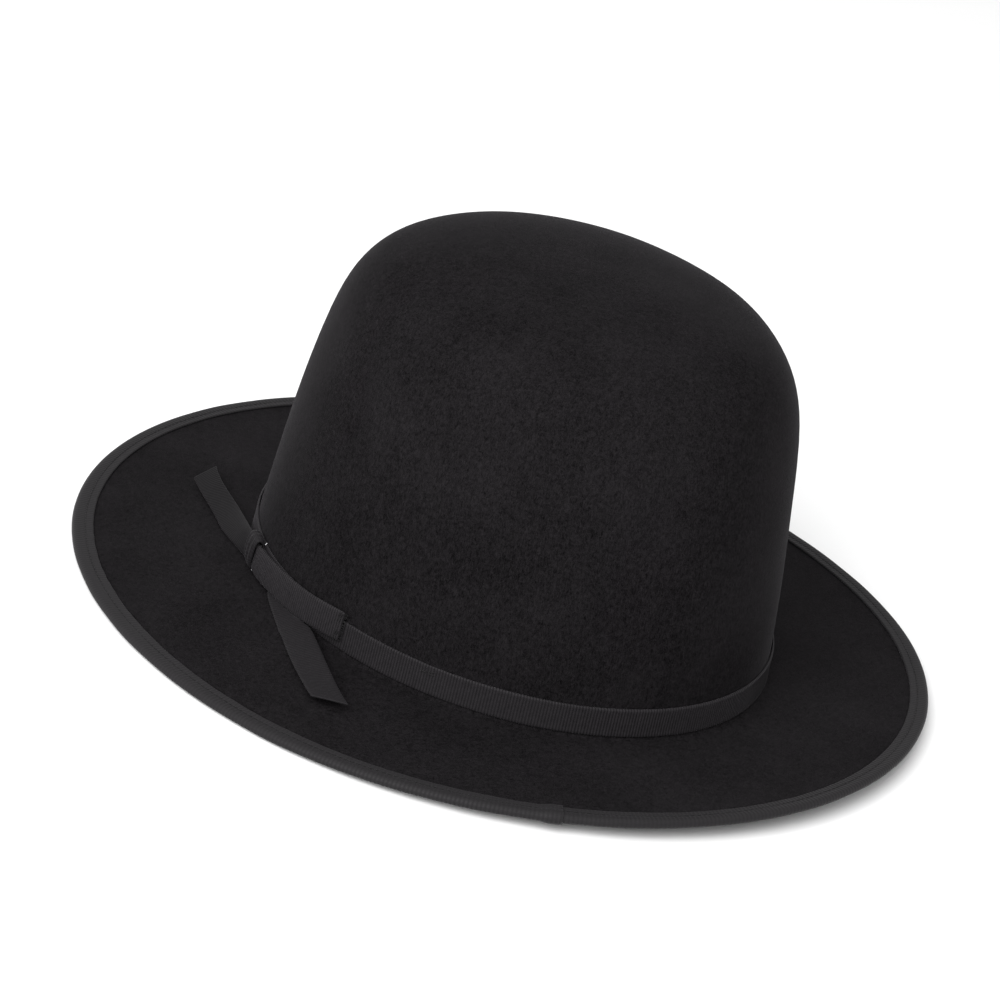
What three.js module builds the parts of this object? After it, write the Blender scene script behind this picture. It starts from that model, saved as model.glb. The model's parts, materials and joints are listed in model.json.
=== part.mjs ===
// A round-crowned felt hat with a wide, ribbon-bound brim and a flat side bow, in millimetres.
// +X is the wearer's left, -Y the front, +Y the back and +Z up. The origin lies on the surface
// that the hat stands on, under the middle of the brim's outline.
import * as THREE from 'three';

// ---- Driving dimensions -------------------------------------------------------------------

const FACETS = 40; // flats round every ring, the same on all, so nested rings stay parallel
const GAP = 0.3; // clearance between pieces that touch on the real hat

// Felt block: an oval crown that tapers upwards and leans back a little.
const CROWN_HALF_WIDTH = 88;
const CROWN_HALF_LENGTH = 103;
const CROWN_HEIGHT = 136.5; // from the brim break to the tip
const CROWN_BASE_Z = 4.4; // top of the brim at the break
const CROWN_SET_BACK = 3.6; // the crown's middle lies this far behind the brim's
const CROWN_RAKE = 2.8; // how far the tip lies behind the base
const CROWN_TAPER = 0.1; // share of the radius lost by the tip, evenly with height
const CROWN_BARREL = 0.08; // share lost with the square of the height
const TIP_ROUNDING = 0.01; // how much rounder the oval gets by the tip
const SHOULDER_HEIGHT_POWER = 11.8; // high, so the wall stays straight and the shoulder is late
const SHOULDER_RADIUS_POWER = 2.3; // near 2, so the shoulder is round
const SHOULDER_START = 0.68; // share of the height where the shoulder starts to turn in
const WALL_STEPS = 5;
const SHOULDER_STEPS = 8;
const FELT_CROWN = 2.4; // felt thickness in the crown
const FELT_BRIM = 2; // felt thickness in the brim
const BREAK_RADIUS = 1; // rounding between crown and brim

// Brim: flat in front and at the sides, turned up a little behind.
const BRIM_HALF_WIDTH = 153;
const BRIM_HALF_LENGTH = 165;
const BRIM_LIFT = 6.2; // rise of the edge at the back
const LIFT_START = 0.12; // sine of the angle behind the side where the rise begins
const LIFT_POWER = 1.5;
const FLAT_EDGE = 9; // level margin that the binding wraps

// Grosgrain ribbon: brim binding, hat band and bow.
const RIBBON = 0.6; // thickness of the band and the bow
const RIBBON_WIDTH = 11;
const BINDING = 0.5; // thickness of the binding
const BINDING_COVER = 8.3; // how far the binding reaches in from the brim's edge
const STITCH_INSET = 5.3; // stitch row, measured in from the brim's edge
const THREAD = 0.4;
const BAND_LIFT = 1.2; // lower edge of the band above the brim

// Wire in the fold of the binding.
const WIRE_RADIUS = 0.45;
const SLEEVE_BORE = 0.7;
const SLEEVE_RADIUS = 0.95;
const SLEEVE_LENGTH = 12;
const WIRE_INSET = BINDING + 0.35 + SLEEVE_RADIUS;

// Sweatband, its reed and its tape.
const LEATHER = 1;
const TAPE = 0.4;
const SWEATBAND_BOTTOM = 4.3;
const SWEATBAND_TOP = 42;
const TAPE_TOP = 9.5;
const TAPE_BOTTOM = 1.7;
const REED_RADIUS = 0.7;
const SWEAT_STITCH_Z = 6.4;

// Satin lining: a wall, a tip and the piping between them.
const SATIN = 0.4;
const LINING_BOTTOM = 12;
const LINING_SEAM = 0.872; // share of the crown's height where wall and tip meet
const PIPING_RADIUS = 0.7;

// Bow: angles run from the wearer's left towards the back, heights are above the floor.
const KNOT_ANGLE = -35.5;
const KNOT_WIDTH = 8;
const KNOT_HEIGHT = 14;
const KNOT_DEPTH = 4;
const KNOT_Z = 12;
const LOOP_START = -32.4;
const LOOP_END = -2.5;
const LOOP_RISE = 3.5;
const LOOP_THICKNESS = 1.6;
const TAIL_CUT = 5; // slant of the tails' cut ends

// ---- Finishes -----------------------------------------------------------------------------

const FINISHES = {
  felt: { color: '#1e1d1f', roughness: 0.95, metalness: 0 },
  ribbon: { color: '#2a292c', roughness: 0.7, metalness: 0 },
  thread: { color: '#1b1b1c', roughness: 0.6, metalness: 0 },
  wire: { color: '#8b8d90', roughness: 0.35, metalness: 1 },
  reed: { color: '#d9d6cc', roughness: 0.4, metalness: 0 },
  leather: { color: '#3a2c24', roughness: 0.55, metalness: 0 },
  satin: { color: '#26262b', roughness: 0.35, metalness: 0 },
  tag: { color: '#e8e4d8', roughness: 0.8, metalness: 0 },
};

const hat = new THREE.Group();

/** Adds one named piece to the hat. */
function addPiece(name, geometry, finish) {
  const mesh = new THREE.Mesh(geometry, new THREE.MeshStandardMaterial(FINISHES[finish]));
  mesh.name = name;
  hat.add(mesh);
  return mesh;
}

// ---- The hat's shape ----------------------------------------------------------------------

// Every ring is first turned round, on a round block of this radius, then stretched to the oval.
const ROUND = Math.sqrt(CROWN_HALF_WIDTH * CROWN_HALF_LENGTH);
const BRIM = BRIM_HALF_WIDTH - CROWN_HALF_WIDTH;
const EDGE = ROUND + BRIM;
const RIGHT_ANGLE = Math.PI / 2;
const radians = THREE.MathUtils.degToRad;

/** Share of the height climbed at a height z. */
function climb(z) {
  return THREE.MathUtils.clamp((z - CROWN_BASE_Z) / CROWN_HEIGHT, 0, 1);
}

/** Smooth radius of the crown, as a share of its base radius, at a share u of its height. */
function smoothShare(u) {
  const dome = (1 - u ** SHOULDER_HEIGHT_POWER) ** (1 / SHOULDER_RADIUS_POWER);
  return (1 - CROWN_TAPER * u - CROWN_BARREL * u * u) * dome;
}

/** Shares of the height where every shell of the crown has an edge, from the break to the tip. */
function crownLevels() {
  const levels = [];
  for (let i = 0; i < WALL_STEPS; i += 1) {
    levels.push((SHOULDER_START * i) / WALL_STEPS);
  }
  const first = Math.acos((1 - SHOULDER_START ** SHOULDER_HEIGHT_POWER) ** (1 / SHOULDER_RADIUS_POWER));
  for (let i = 0; i < SHOULDER_STEPS; i += 1) {
    const angle = first + ((RIGHT_ANGLE - first) * i) / SHOULDER_STEPS;
    levels.push((1 - Math.cos(angle) ** SHOULDER_RADIUS_POWER) ** (1 / SHOULDER_HEIGHT_POWER));
  }
  return [...levels, 1];
}

const LEVELS = crownLevels();

/** Radius of the faceted crown, as a share of its base radius, at a share u of its height. */
function crownShare(u) {
  const above = Math.max(1, LEVELS.findIndex((level) => level >= u));
  const [low, high] = [LEVELS[above - 1], LEVELS[above]];
  return THREE.MathUtils.mapLinear(u, low, high, smoothShare(low), smoothShare(high));
}

/** Radius on the round block of the crown's outer face at a height z. */
function wallRadius(z) {
  return ROUND * crownShare(climb(z));
}

/** How far the brim's edge rises at an angle with this sine. */
function edgeLift(sine) {
  return BRIM_LIFT * Math.max(0, (sine - LIFT_START) / (1 - LIFT_START)) ** LIFT_POWER;
}

/** Place on the oval hat of a point on the round block. */
function onHat(radius, angle, z) {
  const cosine = Math.cos(angle);
  const sine = Math.sin(angle);
  const u = climb(z);
  if (radius <= ROUND) {
    const x = CROWN_HALF_WIDTH * (radius / ROUND) * (1 + TIP_ROUNDING * u) * cosine;
    const y = CROWN_HALF_LENGTH * (radius / ROUND) * (1 - TIP_ROUNDING * u) * sine;
    return new THREE.Vector3(x, y + CROWN_SET_BACK + CROWN_RAKE * u, z);
  }
  const out = (radius - ROUND) / BRIM;
  const x = (CROWN_HALF_WIDTH + (BRIM_HALF_WIDTH - CROWN_HALF_WIDTH) * out) * cosine;
  const y = (CROWN_HALF_LENGTH + (BRIM_HALF_LENGTH - CROWN_HALF_LENGTH) * out) * sine;
  const back = CROWN_SET_BACK * (1 - out) + CROWN_RAKE * u;
  return new THREE.Vector3(x, y + back, z + edgeLift(sine) * out ** LIFT_POWER);
}

/** Moves each vertex of a geometry to place(vertex). */
function reshape(geometry, place) {
  const positions = geometry.getAttribute('position');
  const vertex = new THREE.Vector3();
  for (let i = 0; i < positions.count; i += 1) {
    vertex.fromBufferAttribute(positions, i);
    const moved = place(vertex);
    positions.setXYZ(i, moved.x, moved.y, moved.z);
  }
  geometry.computeVertexNormals();
  return geometry;
}

/** Turns a profile of [radius, z] points and stretches the ring to the oval. */
function ring(profile) {
  const points = profile.map(([radius, z]) => new THREE.Vector2(radius, z));
  const geometry = new THREE.LatheGeometry(points, FACETS);
  geometry.rotateX(RIGHT_ANGLE);
  return reshape(geometry, (v) => onHat(Math.hypot(v.x, v.y), Math.atan2(v.y, v.x), v.z));
}

/** Closes a profile on itself. */
function closed(profile) {
  return [...profile, profile[0]];
}

/** A round section for a cord that runs round the hat. */
function cordSection(radius, z, cordRadius, sides = 6) {
  const section = [];
  for (let i = 0; i < sides; i += 1) {
    const turn = (2 * Math.PI * i) / sides;
    section.push([radius + cordRadius * Math.cos(turn), z + cordRadius * Math.sin(turn)]);
  }
  return closed(section);
}

/** A rectangular section for a strip that runs round the hat. */
function stripSection(innerRadius, outerRadius, bottom, top) {
  return closed([[innerRadius, bottom], [outerRadius, bottom], [outerRadius, top], [innerRadius, top]]);
}

/** Profile up the crown at a depth behind its outer face, between two shares of its height. */
function crownProfile(depth, from, to) {
  const between = LEVELS.filter((level) => level > from && level < to);
  return [from, ...between, to].map((u) => [
    (ROUND - depth) * crownShare(u),
    CROWN_BASE_Z + (CROWN_HEIGHT - depth) * u,
  ]);
}

// ---- Felt, binding and wire ---------------------------------------------------------------

function buildFeltBody() {
  const bottom = BINDING + GAP;
  const edge = EDGE - WIRE_INSET - SLEEVE_RADIUS - GAP;
  const breakUnder = CROWN_BASE_Z - FELT_BRIM;
  const inner = crownProfile(FELT_CROWN, 0, 1).reverse();
  const brim = [
    [ROUND - FELT_CROWN + BREAK_RADIUS, breakUnder],
    [EDGE - FLAT_EDGE, bottom],
    [edge, bottom],
    [edge, bottom + FELT_BRIM],
    [EDGE - FLAT_EDGE, bottom + FELT_BRIM],
    [ROUND + BREAK_RADIUS, CROWN_BASE_Z],
  ];
  const outer = crownProfile(0, BREAK_RADIUS / CROWN_HEIGHT, 1);
  addPiece('felt_body', ring([...inner, ...brim, ...outer]), 'felt');
}

function buildBinding() {
  const top = 2 * BINDING + 2 * GAP + FELT_BRIM;
  const inner = EDGE - BINDING_COVER;
  const round = top / 2;
  const corner = round * 0.3;
  const lining = BINDING + 0.1;
  const section = [
    [inner, 0],
    [EDGE - round * 0.8, 0],
    [EDGE - corner, round - round * 0.7],
    [EDGE, round],
    [EDGE - corner, round + round * 0.7],
    [EDGE - round * 0.8, top],
    [inner, top],
    [inner, top - BINDING],
    [EDGE - round, top - BINDING],
    [EDGE - lining, round + 0.5],
    [EDGE - lining, round - 0.5],
    [EDGE - round, BINDING],
    [inner, BINDING],
  ];
  addPiece('brim_binding', ring(closed(section)), 'ribbon');
  const row = EDGE - STITCH_INSET;
  const stitch = stripSection(row, row + THREAD, top + GAP, top + GAP + THREAD);
  addPiece('binding_stitch', ring(stitch), 'thread');
}

function buildWire() {
  const radius = EDGE - WIRE_INSET;
  const z = BINDING + GAP + FELT_BRIM / 2;
  addPiece('brim_wire', ring(cordSection(radius, z, WIRE_RADIUS)), 'wire');

  // The sleeve is straight and sits half way along one flat of the wire, at the back.
  const from = onHat(radius, RIGHT_ANGLE, z);
  const to = onHat(radius, RIGHT_ANGLE + (2 * Math.PI) / FACETS, z);
  const half = SLEEVE_LENGTH / 2 / from.distanceTo(to);
  const path = new THREE.LineCurve3(
    from.clone().lerp(to, 0.5 - half),
    from.clone().lerp(to, 0.5 + half),
  );
  const wall = new THREE.Shape().absarc(0, 0, SLEEVE_RADIUS, 0, 2 * Math.PI);
  wall.holes.push(new THREE.Path().absarc(0, 0, SLEEVE_BORE, 0, 2 * Math.PI, true));
  const sleeve = new THREE.ExtrudeGeometry(wall, { steps: 1, extrudePath: path, curveSegments: 5 });
  addPiece('brim_wire_sleeve', sleeve, 'wire');
}

// ---- Pieces laid on the crown -------------------------------------------------------------

/** Millimetres round the crown's base for each radian at an angle. */
function girthAt(angle) {
  return Math.hypot(CROWN_HALF_WIDTH * Math.sin(angle), CROWN_HALF_LENGTH * Math.cos(angle));
}

/**
 * Bends a flat geometry onto a shell of the crown. Its x runs clockwise round the crown, y
 * outwards and z up; `angle` is where x = 0 lies and `out` how far y = 0 stands off the wall.
 */
function wrapOnCrown(geometry, angle, out, z) {
  return reshape(geometry, (v) => {
    const height = z + v.z;
    return onHat(wallRadius(height) + out + v.y, angle - v.x / girthAt(angle), height);
  });
}

function buildHatBand() {
  const bottom = CROWN_BASE_Z + BAND_LIFT;
  const top = bottom + RIBBON_WIDTH;
  const section = closed([
    [wallRadius(bottom) + GAP, bottom],
    [wallRadius(bottom) + GAP + RIBBON, bottom],
    [wallRadius(top) + GAP + RIBBON, top],
    [wallRadius(top) + GAP, top],
  ]);
  addPiece('hat_band', ring(section), 'ribbon');

  const onBand = 2 * GAP + RIBBON + THREAD / 2;
  const tack = new THREE.BoxGeometry(2.6, THREAD, 0.8);
  addPiece('band_tack', wrapOnCrown(tack, radians(20), onBand, bottom + RIBBON_WIDTH * 0.75), 'thread');
}

/** The flat loop of the bow, which lies along the band and rises a little towards its end. */
function buildLoop() {
  const steps = 8;
  const middle = CROWN_BASE_Z + BAND_LIFT + RIBBON_WIDTH / 2;
  const loop = new THREE.BoxGeometry(1, LOOP_THICKNESS, RIBBON_WIDTH, steps, 1, 1);
  reshape(loop, (v) => {
    const along = 0.5 - v.x;
    const angle = radians(LOOP_START + (LOOP_END - LOOP_START) * along);
    const z = middle + LOOP_RISE * along ** 1.5 + v.z;
    const stand = (RIBBON + GAP) * (1 - along); // room for the tail that starts under the loop
    const out = 2 * GAP + RIBBON + stand + LOOP_THICKNESS / 2;
    return onHat(wallRadius(z) + out + v.y, angle, z);
  });
  addPiece('bow_loop', loop, 'ribbon');

  const onLoop = 3 * GAP + RIBBON + LOOP_THICKNESS + THREAD / 2;
  for (const [name, rise] of [['loop_tack_upper', 3.6], ['loop_tack_lower', -3.6]]) {
    const tack = new THREE.BoxGeometry(0.8, THREAD, 2.2);
    const angle = radians(LOOP_END - 1.2);
    addPiece(name, wrapOnCrown(tack, angle, onLoop, middle + LOOP_RISE + rise), 'thread');
  }
}

/** The wrap that gathers loop and tails: an oval bar standing against the band. */
function buildKnot() {
  const angle = radians(KNOT_ANGLE);
  const knot = new THREE.CylinderGeometry(1, 1, KNOT_WIDTH, 14, 2);
  knot.rotateZ(RIGHT_ANGLE);
  knot.scale(1, KNOT_DEPTH / 2, KNOT_HEIGHT / 2);
  const out = 2 * GAP + RIBBON + KNOT_DEPTH / 2;
  const radius = wallRadius(KNOT_Z) + out;
  reshape(knot, (v) => onHat(radius + v.y, angle - v.x / girthAt(angle), KNOT_Z + v.z));
  addPiece('bow_knot', knot, 'ribbon');
}

/**
 * A length of ribbon laid along a curve. Each stop is [angle, out, z, roll]: out is the distance
 * from the foot of the crown, and roll in degrees tips the ribbon up from lying flat, raising
 * the edge nearest the crown. `side` is 1 where the crown is on the left of the way along, and
 * -1 where it is on the right. `cut` is how much further the crown's edge reaches at the end.
 */
function ribbonAlong(stops, side, steps, cut) {
  const places = stops.map(([angle, out, z]) => {
    const foot = onHat(ROUND + out, radians(angle), 0);
    return foot.setZ(z);
  });
  const curve = new THREE.CatmullRomCurve3(places);
  const rolls = stops.map(([, , , roll]) => radians(roll));
  const rollAt = (share) => {
    const index = Math.min(Math.floor(share * (rolls.length - 1)), rolls.length - 2);
    return THREE.MathUtils.lerp(rolls[index], rolls[index + 1], share * (rolls.length - 1) - index);
  };
  const up = new THREE.Vector3(0, 0, 1);
  const strip = new THREE.BoxGeometry(1, RIBBON, RIBBON_WIDTH, steps, 1, 1);
  return reshape(strip, (v) => {
    const share = v.x + 0.5;
    const along = curve.getTangent(share);
    const right = new THREE.Vector3().crossVectors(along, up).normalize();
    const rise = new THREE.Vector3().crossVectors(right, along);
    const lean = side * Math.sin(rollAt(share));
    const flat = Math.cos(rollAt(share));
    const across = right.clone().multiplyScalar(flat).addScaledVector(rise, -lean);
    const through = rise.clone().multiplyScalar(flat).addScaledVector(right, lean);
    const slant = share > 1 - 0.5 / steps ? (-side * cut * v.z) / RIBBON_WIDTH : 0;
    const place = curve.getPoint(share).addScaledVector(along, slant);
    return place.addScaledVector(across, v.z).addScaledVector(through, v.y);
  });
}

function buildTails() {
  const upper = [
    [-38.4, 3.3, 10.8, 86],
    [-43.5, 3.6, 10.2, 66],
    [-50.4, 6.4, 8.4, 34],
    [-58.7, 12.2, 7.2, 14],
    [-69.5, 26.2, 7.6, 6],
  ];
  addPiece('bow_tail_upper', ribbonAlong(upper, -1, 10, TAIL_CUT), 'ribbon');

  // The root of this tail runs back under the loop to the knot; the solid is the free end.
  const lower = [
    [-8, 8.9, 6.8, 18],
    [-1.5, 13, 6.6, 13],
    [5, 21, 6.6, 9],
    [11.7, 32.5, 7, 6],
  ];
  addPiece('bow_tail_lower', ribbonAlong(lower, 1, 8, TAIL_CUT), 'ribbon');
}

// ---- Inside the hat -----------------------------------------------------------------------

const TAPE_DEPTH = FELT_CROWN + GAP; // outer face of the reed tape and of the lining
const LEATHER_DEPTH = TAPE_DEPTH + TAPE + GAP; // outer face of the sweatband
const REED_DEPTH = TAPE_DEPTH + TAPE + GAP + REED_RADIUS;
const HEAD_FACE = LEATHER_DEPTH + LEATHER; // inner face of the sweatband

function buildSweatband() {
  const wall = (depth, z) => [wallRadius(z) - depth, z];
  const middle = (SWEATBAND_BOTTOM + SWEATBAND_TOP) / 2;
  const section = closed([
    wall(HEAD_FACE, SWEATBAND_BOTTOM),
    wall(LEATHER_DEPTH, SWEATBAND_BOTTOM),
    wall(LEATHER_DEPTH, middle),
    wall(LEATHER_DEPTH, SWEATBAND_TOP),
    wall(HEAD_FACE, SWEATBAND_TOP),
    wall(HEAD_FACE, middle),
  ]);
  addPiece('sweatband', ring(section), 'leather');

  const reedZ = TAPE_BOTTOM + TAPE + GAP + REED_RADIUS;
  addPiece('sweatband_reed', ring(cordSection(ROUND - REED_DEPTH, reedZ, REED_RADIUS)), 'reed');

  const foldDepth = REED_DEPTH + REED_RADIUS + GAP;
  const tape = closed([
    [ROUND - foldDepth, reedZ],
    [ROUND - foldDepth - TAPE, reedZ],
    [ROUND - foldDepth, TAPE_BOTTOM],
    [ROUND - TAPE_DEPTH, TAPE_BOTTOM],
    wall(TAPE_DEPTH, TAPE_TOP),
    wall(TAPE_DEPTH + TAPE, TAPE_TOP),
    [ROUND - TAPE_DEPTH - TAPE, TAPE_BOTTOM + TAPE],
    [ROUND - foldDepth + 0.2, TAPE_BOTTOM + TAPE],
  ]);
  addPiece('sweatband_reed_tape', ring(tape), 'thread');

  const row = wallRadius(SWEAT_STITCH_Z) - HEAD_FACE - GAP;
  const stitch = stripSection(row - THREAD, row, SWEAT_STITCH_Z, SWEAT_STITCH_Z + THREAD);
  addPiece('sweatband_stitch', ring(stitch), 'thread');
}

/** Small pieces laid on the head side of the sweatband. */
function buildSweatbandTrim() {
  const seam = new THREE.BoxGeometry(5, THREAD, SWEATBAND_TOP - 12, 1, 1, 3);
  const seamOut = -(HEAD_FACE + GAP + THREAD / 2);
  addPiece('sweatband_seam', wrapOnCrown(seam, RIGHT_ANGLE, seamOut, SWEATBAND_TOP / 2 + 5), 'leather');

  const wing = 11;
  const waist = 1.6;
  const spread = 3.4;
  const outline = new THREE.Shape();
  outline.moveTo(-wing, -spread);
  outline.lineTo(0, -waist);
  outline.lineTo(wing, -spread);
  outline.lineTo(wing, spread);
  outline.lineTo(0, waist);
  outline.lineTo(-wing, spread);
  outline.closePath();
  const bow = new THREE.ExtrudeGeometry(outline, { depth: 1, bevelEnabled: false });
  bow.rotateX(RIGHT_ANGLE);
  const bowOut = -(HEAD_FACE + 2 * GAP + THREAD + 0.1);
  addPiece('sweatband_bow', wrapOnCrown(bow, RIGHT_ANGLE, bowOut, 16), 'ribbon');

  const tag = new THREE.BoxGeometry(18, 0.3, 12, 3, 1, 1);
  addPiece('size_tag', wrapOnCrown(tag, radians(140), -(HEAD_FACE + GAP + 0.15), 26), 'tag');
}

function buildLining() {
  const start = climb(LINING_BOTTOM);
  const seamGap = 0.008; // share of the crown's height left open under the piping
  const face = crownProfile(TAPE_DEPTH, start, LINING_SEAM - seamGap);
  const back = crownProfile(TAPE_DEPTH + SATIN, start, LINING_SEAM - seamGap);
  addPiece('lining_side', ring(closed([...face, ...back.reverse()])), 'satin');

  const tipFace = crownProfile(TAPE_DEPTH, LINING_SEAM + seamGap, 1);
  const tipBack = crownProfile(TAPE_DEPTH + SATIN, LINING_SEAM + seamGap, 1);
  addPiece('lining_tip', ring([...tipBack.reverse(), ...tipFace]), 'satin');

  const depth = TAPE_DEPTH + SATIN + GAP + PIPING_RADIUS;
  const radius = (ROUND - depth) * crownShare(LINING_SEAM);
  const z = CROWN_BASE_Z + (CROWN_HEIGHT - depth) * LINING_SEAM;
  addPiece('lining_piping', ring(cordSection(radius, z, PIPING_RADIUS)), 'satin');
}

buildFeltBody();
buildBinding();
buildWire();
buildHatBand();
buildLoop();
buildKnot();
buildTails();
buildSweatband();
buildSweatbandTrim();
buildLining();

export default hat;
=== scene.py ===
"""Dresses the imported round-crowned felt hat: felt, ribbon, leather and satin built round the frame.

+X is the wearer's left, -Y the front, +Y the back and +Z up. Shapes are worked out in millimetres
and turned into metres when a mesh is made. Angles run from the wearer's left towards the back.
"""

import json
import logging
import math
from collections.abc import Callable, Sequence
from dataclasses import dataclass
from enum import Enum

import bmesh
import bpy
import numpy as np
from mathutils import Matrix, Vector


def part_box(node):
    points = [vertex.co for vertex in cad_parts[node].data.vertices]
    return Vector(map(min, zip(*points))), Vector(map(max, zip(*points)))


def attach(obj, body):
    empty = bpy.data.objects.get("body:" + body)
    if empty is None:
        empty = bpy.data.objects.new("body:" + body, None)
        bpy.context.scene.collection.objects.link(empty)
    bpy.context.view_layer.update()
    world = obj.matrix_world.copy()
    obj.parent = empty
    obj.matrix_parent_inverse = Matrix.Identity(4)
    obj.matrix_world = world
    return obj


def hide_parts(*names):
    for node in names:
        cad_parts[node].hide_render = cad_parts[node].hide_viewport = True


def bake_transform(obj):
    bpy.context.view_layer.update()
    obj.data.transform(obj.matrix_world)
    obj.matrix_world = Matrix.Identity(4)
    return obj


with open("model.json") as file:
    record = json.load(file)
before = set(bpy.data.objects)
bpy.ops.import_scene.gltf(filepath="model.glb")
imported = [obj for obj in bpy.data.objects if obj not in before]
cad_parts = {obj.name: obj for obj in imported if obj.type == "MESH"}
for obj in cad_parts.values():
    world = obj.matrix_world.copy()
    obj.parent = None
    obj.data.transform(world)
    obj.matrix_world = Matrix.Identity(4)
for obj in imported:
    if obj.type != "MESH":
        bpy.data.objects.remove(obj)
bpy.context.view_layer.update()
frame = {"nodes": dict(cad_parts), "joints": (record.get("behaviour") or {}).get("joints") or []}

LOG = logging.getLogger("hat")
MM = 0.001
TURN = 2 * math.pi
SEED = 7
HAT = "hat"
STEPS_PER_RIB = 6
RIM_SHARES = (0.0, 0.02, 0.07, 0.93, 0.98, 1.0)
RIM_FULLNESS = (0.35, 0.8, 1.1, 1.1, 0.8, 0.35)

Color = tuple[float, float, float]
Field = Callable[[np.ndarray], np.ndarray]


# ---- Shared shape helpers -----------------------------------------------------------------


def smooth(share: np.ndarray | float) -> np.ndarray | float:
    """Eases a share from 0 to 1, clamped at both ends."""
    held = np.clip(share, 0.0, 1.0)
    return held * held * (3 - 2 * held)


def bell(places: np.ndarray, middle: float, width: float) -> np.ndarray:
    """A soft bump that is 1 at its middle and fades out over its width."""
    return np.exp(-(((places - middle) / width) ** 2))


def unevenness(points: np.ndarray, wavelength: float, waves: int = 14) -> np.ndarray:
    """Soft, seeded unevenness made of crossing waves.

    Args:
        points: Places in millimetres, with x, y and z last.
        wavelength: Typical distance from bump to bump, in millimetres.
        waves: How many waves are added up.

    Returns:
        A value of about -1 to 1 at each place.
    """
    draws = np.random.default_rng(SEED + int(wavelength * 10))
    total = np.zeros(points.shape[:-1])
    for _ in range(waves):
        direction = draws.normal(size=3)
        direction /= np.linalg.norm(direction)
        pitch = wavelength * draws.uniform(0.7, 1.6)
        total += np.sin(points @ direction * (TURN / pitch) + draws.uniform(0, TURN))
    return total / math.sqrt(waves) / 1.4


def smooth_rail(stops: Sequence[Sequence[float]], shares: np.ndarray) -> np.ndarray:
    """Runs a smooth line through stops.

    Args:
        stops: The stops, as rows of numbers.
        shares: Where to read the line, from 0 at the first stop to 1 at the last.

    Returns:
        One row for each share.
    """
    rows = np.asarray(stops, float)
    last = len(rows) - 1
    spot = np.clip(shares, 0, 1) * last
    index = np.minimum(spot.astype(int), last - 1)
    part = (spot - index)[:, None]
    padded = np.vstack([2 * rows[0] - rows[1], rows, 2 * rows[-1] - rows[-2]])
    a, b, c, d = (padded[index + k] for k in range(4))
    bend = 2 * a - 5 * b + 4 * c - d
    twist = 3 * b - 3 * c + d - a
    return b + 0.5 * part * (c - a + part * (bend + part * twist))


def lengths_along(points: np.ndarray) -> np.ndarray:
    """Distance from the first point to each point of a line."""
    steps = np.linalg.norm(np.diff(points, axis=0), axis=1)
    return np.concatenate([[0.0], np.cumsum(steps)])


def unit(vectors: np.ndarray) -> np.ndarray:
    """Scales vectors to a length of 1."""
    return vectors / np.maximum(np.linalg.norm(vectors, axis=-1, keepdims=True), 1e-9)


def make_piece(name: str, mesh: bpy.types.Mesh) -> bpy.types.Object:
    """Puts a mesh into the scene as a named piece at the origin.

    Args:
        name: The piece's name.
        mesh: Its finished mesh, in metres.

    Returns:
        The new object.
    """
    mesh.name = name
    piece = bpy.data.objects.new(name, mesh)
    bpy.context.scene.collection.objects.link(piece)
    return piece


def skin(
    name: str,
    points: np.ndarray,
    wrap_rows: bool,
    wrap_columns: bool,
    across: np.ndarray | None = None,
    along: np.ndarray | None = None,
) -> bpy.types.Object:
    """Covers a grid of points with faces and closes its seams and poles.

    Args:
        name: The piece's name.
        points: Rows and columns of places in millimetres.
        wrap_rows: Whether the last row joins the first.
        wrap_columns: Whether the last column joins the first.
        across: Millimetres across the cloth at each row, with one more where rows wrap.
        along: Millimetres along the cloth at each column, with one more where columns wrap.

    Returns:
        The piece, smooth shaded, with its faces pointing outwards.
    """
    rows, columns = points.shape[:2]
    row_ids = np.arange(rows if wrap_rows else rows - 1)
    column_ids = np.arange(columns if wrap_columns else columns - 1)
    row, column = np.meshgrid(row_ids, column_ids, indexing="ij")
    corners = [(row, column), (row, column + 1), (row + 1, column + 1), (row + 1, column)]
    faces = np.stack([r % rows * columns + c % columns for r, c in corners], axis=-1).reshape(-1, 4)
    mesh = bpy.data.meshes.new(name)
    mesh.from_pydata((points.reshape(-1, 3) * MM).tolist(), [], faces.tolist())
    if across is not None and along is not None:
        cloth = np.stack([np.stack([along[c], across[r]], axis=-1) for r, c in corners], axis=-2)
        mesh.uv_layers.new(name="cloth").data.foreach_set("uv", (cloth.reshape(-1) * MM).astype(np.float32))
    close_up(mesh)
    return make_piece(name, mesh)


def close_up(mesh: bpy.types.Mesh) -> None:
    """Merges doubled points, turns the faces outwards and shades the mesh smooth.

    Args:
        mesh: The mesh, which is changed in place.
    """
    shape = bmesh.new()
    shape.from_mesh(mesh)
    bmesh.ops.remove_doubles(shape, verts=shape.verts, dist=1e-7)
    bmesh.ops.dissolve_degenerate(shape, edges=shape.edges, dist=1e-8)
    bmesh.ops.recalc_face_normals(shape, faces=shape.faces)
    for face in shape.faces:
        face.smooth = True
    shape.to_mesh(mesh)
    shape.free()


def join_pieces(name: str, parts: Sequence[bpy.types.Object]) -> bpy.types.Object:
    """Joins several pieces of one cloth into one piece.

    Args:
        name: The joined piece's name.
        parts: The pieces, which are used up.

    Returns:
        The joined piece.
    """
    shape = bmesh.new()
    for part in parts:
        shape.from_mesh(part.data)
    mesh = bpy.data.meshes.new(name)
    shape.to_mesh(mesh)
    shape.free()
    for part in parts:
        old = part.data
        bpy.data.objects.remove(part)
        bpy.data.meshes.remove(old)
    return make_piece(name, mesh)


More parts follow.
